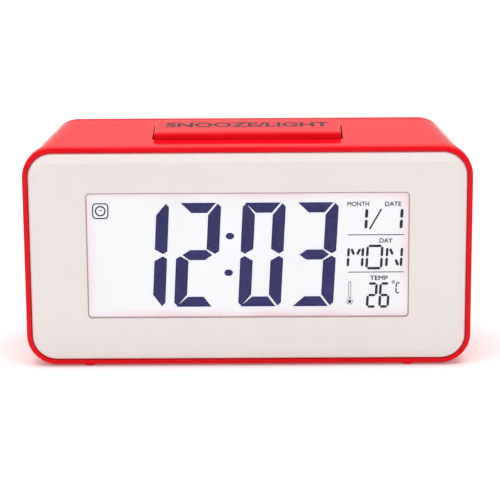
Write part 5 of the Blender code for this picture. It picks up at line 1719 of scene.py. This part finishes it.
@dataclass
class BatteryDoor:
    """The door on its knuckle, with a springy latch tongue and finger ribs."""

    back_y: float
    wall: float = 2 * MM
    half: float = 25.7 * MM
    top: float = 41 * MM
    knuckle: float = 1.5 * MM
    hinge_z: float = 7.6 * MM
    latch_half: float = 6 * MM
    slit: float = 0.9 * MM
    slit_length: float = 8 * MM
    rib: float = 0.4 * MM
    rib_width: float = 0.7 * MM
    rib_pitch: float = 1.3 * MM
    pin_radius: float = 0.7 * MM
    pin_length: float = 1.6 * MM
    pin_proud: float = 1.1 * MM
    edge_soft: float = 0.15 * MM

    def build(self) -> None:
        """Makes the door from its side outline, then its pins, ribs and slits."""
        hinge_y = self.back_y - self.knuckle
        inside = self.back_y - self.wall
        meet = math.acos((inside - hinge_y) / self.knuckle)
        outline = [(self.back_y, self.top), (inside, self.top)]
        for step in range(SMALL_SIDES + 1):
            angle = meet + (2 * math.pi - meet) * step / SMALL_SIDES
            y = hinge_y + self.knuckle * math.cos(angle)
            outline.append((y, self.hinge_z + self.knuckle * math.sin(angle)))
        shape = prism([(-self.half, y, z) for y, z in outline], (2 * self.half, 0, 0))
        door = Piece("battery_door_skin", shape, RED_TEXTURED)
        pins, slits, ribs = [], [], []
        for side in (-1, 1):
            x = side * (self.half + self.pin_proud - self.pin_length / 2) - self.pin_length / 2
            pins.append(rod((x, hinge_y, self.hinge_z), Axis.X, self.pin_length, self.pin_radius))
            x = side * self.latch_half - self.slit / 2
            low = (x, inside - REACH, self.top - self.slit_length)
            slits.append(block(low, (x + self.slit, self.back_y + REACH, self.top + REACH)))
        reach, tall = self.latch_half - 2 * self.slit, self.rib_width / 2
        for row in range(-2, 3):
            z = self.top - self.slit_length / 2 + row * self.rib_pitch
            low = (-reach, self.back_y - OVERLAP, z - tall)
            ribs.append(block(low, (reach, self.back_y + self.rib, z + tall)))
        door.join(*pins)
        door.join(*ribs)
        door.cut(*slits)
        door.soften(self.edge_soft)
        door.finished("battery_door", "red_abs", "battery_door")


@dataclass
class Cells:
    """Three cells with printed sleeves, and their plated contacts."""

    count: int = 3
    nub_radius: float = 1.9 * MM
    nub_length: float = 0.8 * MM
    shoulder: float = 0.5 * MM
    sleeve_thick: float = 0.3 * MM
    minus_step: float = 0.6 * MM  # how far the minus plate stands in from the side
    plus_share: float = 0.7  # the sleeve's end over the plus shoulder, as a share of the radius
    band: float = 11 * MM  # where the bright band starts along X

    def profile(self, radius: float, length: float) -> list[Point]:
        """Half the cell's outline, from its minus plate to its plus nub.

        Args:
            radius: The cell's radius.
            length: Its length with the nub.

        Returns:
            (radius, height) points.
        """
        body, thick = length - self.nub_length, self.sleeve_thick
        plate, nub = radius - self.minus_step, self.nub_radius
        corners = [(0, 0, 0), (plate, 0, 0), (plate, thick, 0), (radius, thick, thick)]
        corners += [(radius, body, self.shoulder), (radius * self.plus_share, body, 0)]
        tip = [(nub, body - 0.1 * MM), (nub, length - 0.2 * MM), (nub - 0.2 * MM, length), (0, length)]
        return [*filleted(corners, 4), *tip]

    def is_bare(self, face: bmesh.types.BMFace, radius: float) -> bool:
        """Whether a face is steel: inside the sleeve's end, or on the minus plate.

        Args:
            face: A face of the cell.
            radius: The cell's radius.

        Returns:
            True for steel, false for the sleeve.
        """
        centre = face.calc_center_median()
        ring = Vector(centre.yz).length
        on_plate = centre.x < self.sleeve_thick + 0.05 * MM and ring < radius - self.minus_step + 0.05 * MM
        return ring < radius * (self.plus_share - 0.01) or on_plate

    def build(self) -> None:
        """Makes each cell as a sleeve with two bare steel ends."""
        for number in range(1, self.count + 1):
            name = f"battery_cell_{number}"
            low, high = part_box(name)
            middle, radius = middle_of(name), (high.z - low.z) / 2
            toward = 1 if number % 2 else -1
            shape = turned(self.profile(radius, high.x - low.x), (0, 0, 0), Axis.X, FINE_SIDES)
            for face in shape.faces:
                face.material_index = int(self.is_bare(face, radius))
            place = Matrix.Translation((low.x if toward > 0 else high.x, middle.y, middle.z))
            if toward < 0:
                place = place @ Matrix.Rotation(math.pi, 4, "Z")
            bmesh.ops.transform(shape, matrix=place, verts=shape.verts)
            film = f"printed_cell_sleeve_{number}"
            sleeve = CellSleeve(film, "1E2A26", 0.3, band_from=self.band, toward=toward)
            Piece(f"{name}_skin", shape, sleeve, STEEL).finished(CASE, "cell_sleeve", name)
        dress(STEEL, "plated_steel", "positive_contact", "negative_contact")
        dress(STEEL, "plated_steel", "bridge_contact_left", "bridge_contact_right")


@dataclass
class RearControls:
    """Key caps, slide-switch knob and case screws."""

    cap_radius: float = 3.6 * MM
    cap_round: float = 0.6 * MM
    cap_flange: float = 0.9 * MM
    dish: float = 0.3 * MM
    groove: float = 0.4 * MM
    screw_head: float = 2.3 * MM
    screw_rise: float = 1.6 * MM  # height of the head
    screw_shank: float = 1.3 * MM
    screw_core: float = 0.95 * MM
    thread_from: float = 1 * MM
    thread_pitch: float = 1 * MM
    thread_turns: int = 9
    recess: tuple[float, float, float] = (1.3 * MM, 0.3 * MM, 1 * MM)  # half length, half width and depth

    def build_cap(self, key: str) -> None:
        """A round cap on a flange, with a soft edge and a shallow dish for the finger.

        Args:
            key: The key's name.
        """
        low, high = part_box(f"{key}_button")
        length, flange, radius = high.y - low.y, (high.x - low.x) / 2, self.cap_radius
        outer = filleted(
            [
                (0, 0, 0),
                (flange, 0, 0.1 * MM),
                (flange, self.cap_flange, 0.1 * MM),
                (radius, self.cap_flange, 0),
                (radius, length, self.cap_round),
                (radius - 1.1 * MM, length, 0.5 * MM),
                (radius - 1.8 * MM, length - self.dish, 0.8 * MM),
                (0, length - self.dish, 0),
            ],
            5,
        )
        middle = middle_of(f"{key}_button")
        shape = turned(outer, (middle.x, low.y, middle.z), Axis.Y)
        Piece(f"{key}_button_skin", shape, KEY_ABS).finished(f"{key}_button", "white_abs", f"{key}_button")

    def build_knob(self) -> None:
        """The slide switch's knob, with two grooves across its tip for grip."""
        low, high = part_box("light_switch_slider")
        knob = Piece("light_switch_knob_skin", block(low, high), BLACK_NYLON)
        width = (high.x - low.x) / 5
        grooves = []
        for row in (1, 3):
            start = (low.x + row * width, high.y - self.groove, low.z - REACH)
            grooves.append(block(start, (start[0] + width, high.y + REACH, high.z + REACH)))
        knob.cut(*grooves)
        knob.soften(0.12 * MM)
        knob.finished("light_switch_slider", "black_nylon", "light_switch_slider")

    def build_screw(self, name: str) -> None:
        """A pan-head screw with a cross recess and a coarse plastic thread.

        Args:
            name: The screw's node.
        """
        low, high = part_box(name)
        middle = middle_of(name)
        head, shank, rise, pitch = self.screw_head, self.screw_shank, self.screw_rise, self.thread_pitch
        length = high.y - low.y - rise
        profile = [(0, 0), (self.screw_core / 2, 0.3 * MM)]
        for turn in range(self.thread_turns):
            start = self.thread_from + turn * pitch
            profile += [(self.screw_core, start), (shank, start + 0.4 * pitch), (shank, start + 0.5 * pitch)]
        thread_end = self.thread_from + self.thread_turns * pitch
        top = [(shank, thread_end, 0), (shank, length, 0), (head, length, 0.15 * MM)]
        profile += filleted([*top, (head, length + rise, 0.8 * MM), (0, length + rise, 0)], 5)
        shape = turned(profile, (middle.x, low.y, middle.z), Axis.Y, SMALL_SIDES)
        screw = Piece(f"{name}_skin", shape, STEEL)
        half, thin, deep = self.recess
        for across, tall in ((half, thin), (thin, half)):
            start = (middle.x - across, high.y - deep, middle.z - tall)
            screw.cut(block(start, (middle.x + across, high.y + REACH, middle.z + tall)))
        screw.finished(CASE, "plated_steel", name)

    def build(self) -> None:
        """Makes every control and screw."""
        for key in KEYS:
            self.build_cap(key)
        self.build_knob()
        for name in SCREWS:
            self.build_screw(name)


@dataclass
class Electronics:
    """The boards, switches, wiring and small parts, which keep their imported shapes."""

    def build(self) -> None:
        """Gives each part the finish of what it is made of."""
        dress(BOARD_GREEN, "board_green", "main_board")
        dress(BOARD_BROWN, "board_brown", "key_board", "snooze_board")
        dress(BLACK_EPOXY, "black_epoxy", "chip_blob", "thermistor")
        dress(TIN, "tinned_steel", "quartz_crystal", "light_switch_body")
        dress(CAPACITOR_SLEEVE, "lead_black", "smoothing_capacitor")
        dress(STEEL, "plated_steel", "board_screw_1", "board_screw_2")
        dress(STEEL, "plated_steel", "snooze_spring_left", "snooze_spring_right")
        dress(BRASS, "brass", "piezo_sounder")
        switches = [f"{key}_switch" for key in KEYS] + ["snooze_switch"]
        dress(BLACK_NYLON, "black_nylon", *switches)
        plungers = [f"{key}_plunger" for key in KEYS] + ["snooze_plunger"]
        dress(RUBBER, "silicone_rubber", *plungers)
        dress(LEAD_RED, "lead_red", "battery_lead_red")
        dress(LEAD_BLACK, "lead_black", "battery_lead_black")
        dress(RIBBON, "ribbon_grey", "snooze_cable", "key_ribbon")


# ---------------------------------------------------------------- studio
@dataclass
class Studio:
    """Camera, soft lights, pale surroundings and floor."""

    target: Vector = field(default_factory=lambda: Vector((0.64, -21, 36.66)) * MM)
    distance: float = 748 * MM
    pitch: float = math.radians(16)
    yaw: float = math.radians(-0.46)
    roll: float = math.radians(-0.41)
    lens: float = 178.85

    def place_camera(self) -> None:
        """A long lens a little above the clock, looking down at its front."""
        level = math.cos(self.pitch)
        ahead = Vector((math.sin(self.yaw) * level, math.cos(self.yaw) * level, -math.sin(self.pitch)))
        right = ahead.cross(Vector((0, 0, 1))).normalized()
        up = right.cross(ahead)
        turned_right = right * math.cos(self.roll) + up * math.sin(self.roll)
        turned_up = up * math.cos(self.roll) - right * math.sin(self.roll)
        camera = bpy.data.objects.new("camera", bpy.data.cameras.new("camera"))
        camera.data.lens = self.lens
        camera.data.clip_start, camera.data.clip_end = 0.01, 20
        bpy.context.scene.collection.objects.link(camera)
        columns = Matrix((turned_right, turned_up, -ahead)).transposed()
        camera.matrix_world = Matrix.Translation(self.target - ahead * self.distance) @ columns.to_4x4()
        bpy.context.scene.camera = camera

    def place_light(self, name: str, spot: Sequence[float], size: float, power: float) -> None:
        """A square soft light that looks at the clock.

        Args:
            name: Its name.
            spot: Where it stands, in metres.
            size: Its width.
            power: Its power in watts.
        """
        light = bpy.data.lights.new(name, "AREA")
        light.shape = "SQUARE"
        light.size = size
        light.energy = power
        made = bpy.data.objects.new(name, light)
        made.location = spot
        made.rotation_euler = (self.target - Vector(spot)).to_track_quat("-Z", "Y").to_euler()
        bpy.context.scene.collection.objects.link(made)

    def build(self) -> None:
        """Lights, surroundings and floor."""
        self.place_light("top_softbox", (0, 0, 1.3), 1.4, 14.5)
        self.place_light("back_card", (0, 1.6, 0.45), 1.2, 0.9)
        self.place_light("left_softbox", (-1.2, -0.9, 0.8), 0.9, 1.8)
        self.place_light("right_softbox", (1.2, -0.9, 0.7), 0.9, 1.2)
        world = bpy.data.worlds.new("studio")
        world.use_nodes = True
        tree = world.node_tree
        place = add_node(tree, "ShaderNodeTexCoord").outputs["Generated"]
        height = add_node(tree, "ShaderNodeSeparateXYZ", {0: place}).outputs[2]
        inputs = {"Value": height, "From Min": 0.0, "From Max": 0.6, "To Min": 0.36, "To Max": 0.6}
        strength = add_node(tree, "ShaderNodeMapRange", inputs).outputs[0]
        feed(tree.nodes["Background"], {"Strength": strength, "Color": (1, 1, 1, 1)})
        bpy.context.scene.world = world
        bpy.context.scene.view_settings.view_transform = "Standard"
        self.build_floor()

    def build_floor(self) -> None:
        """A wide white sheet of paper under the clock."""
        shape = bmesh.new()
        bmesh.ops.create_grid(shape, x_segments=4, y_segments=4, size=4)
        floor = Piece.linked("floor", shape)
        floor.data.materials.append(LitPaper("lit_white_paper", "F6F6F6", 0.8).material())


def main() -> None:
    """Builds the studio and every part of the clock in order."""
    logging.basicConfig(level=logging.INFO, format="%(name)s: %(message)s")
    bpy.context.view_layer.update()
    studio = Studio()
    studio.place_camera()
    studio.build()
    form = CaseForm()
    bar = SnoozeBar(form)
    window = Window()
    CaseShell(form, bar).build()
    bar.build()
    FrontBezel(form, window).build()
    Display(window).build()
    RearCover(form).build()
    BatteryDoor(form.back_y).build()
    Cells().build()
    RearControls().build()
    Electronics().build()


if __name__ == "__main__":
    main()
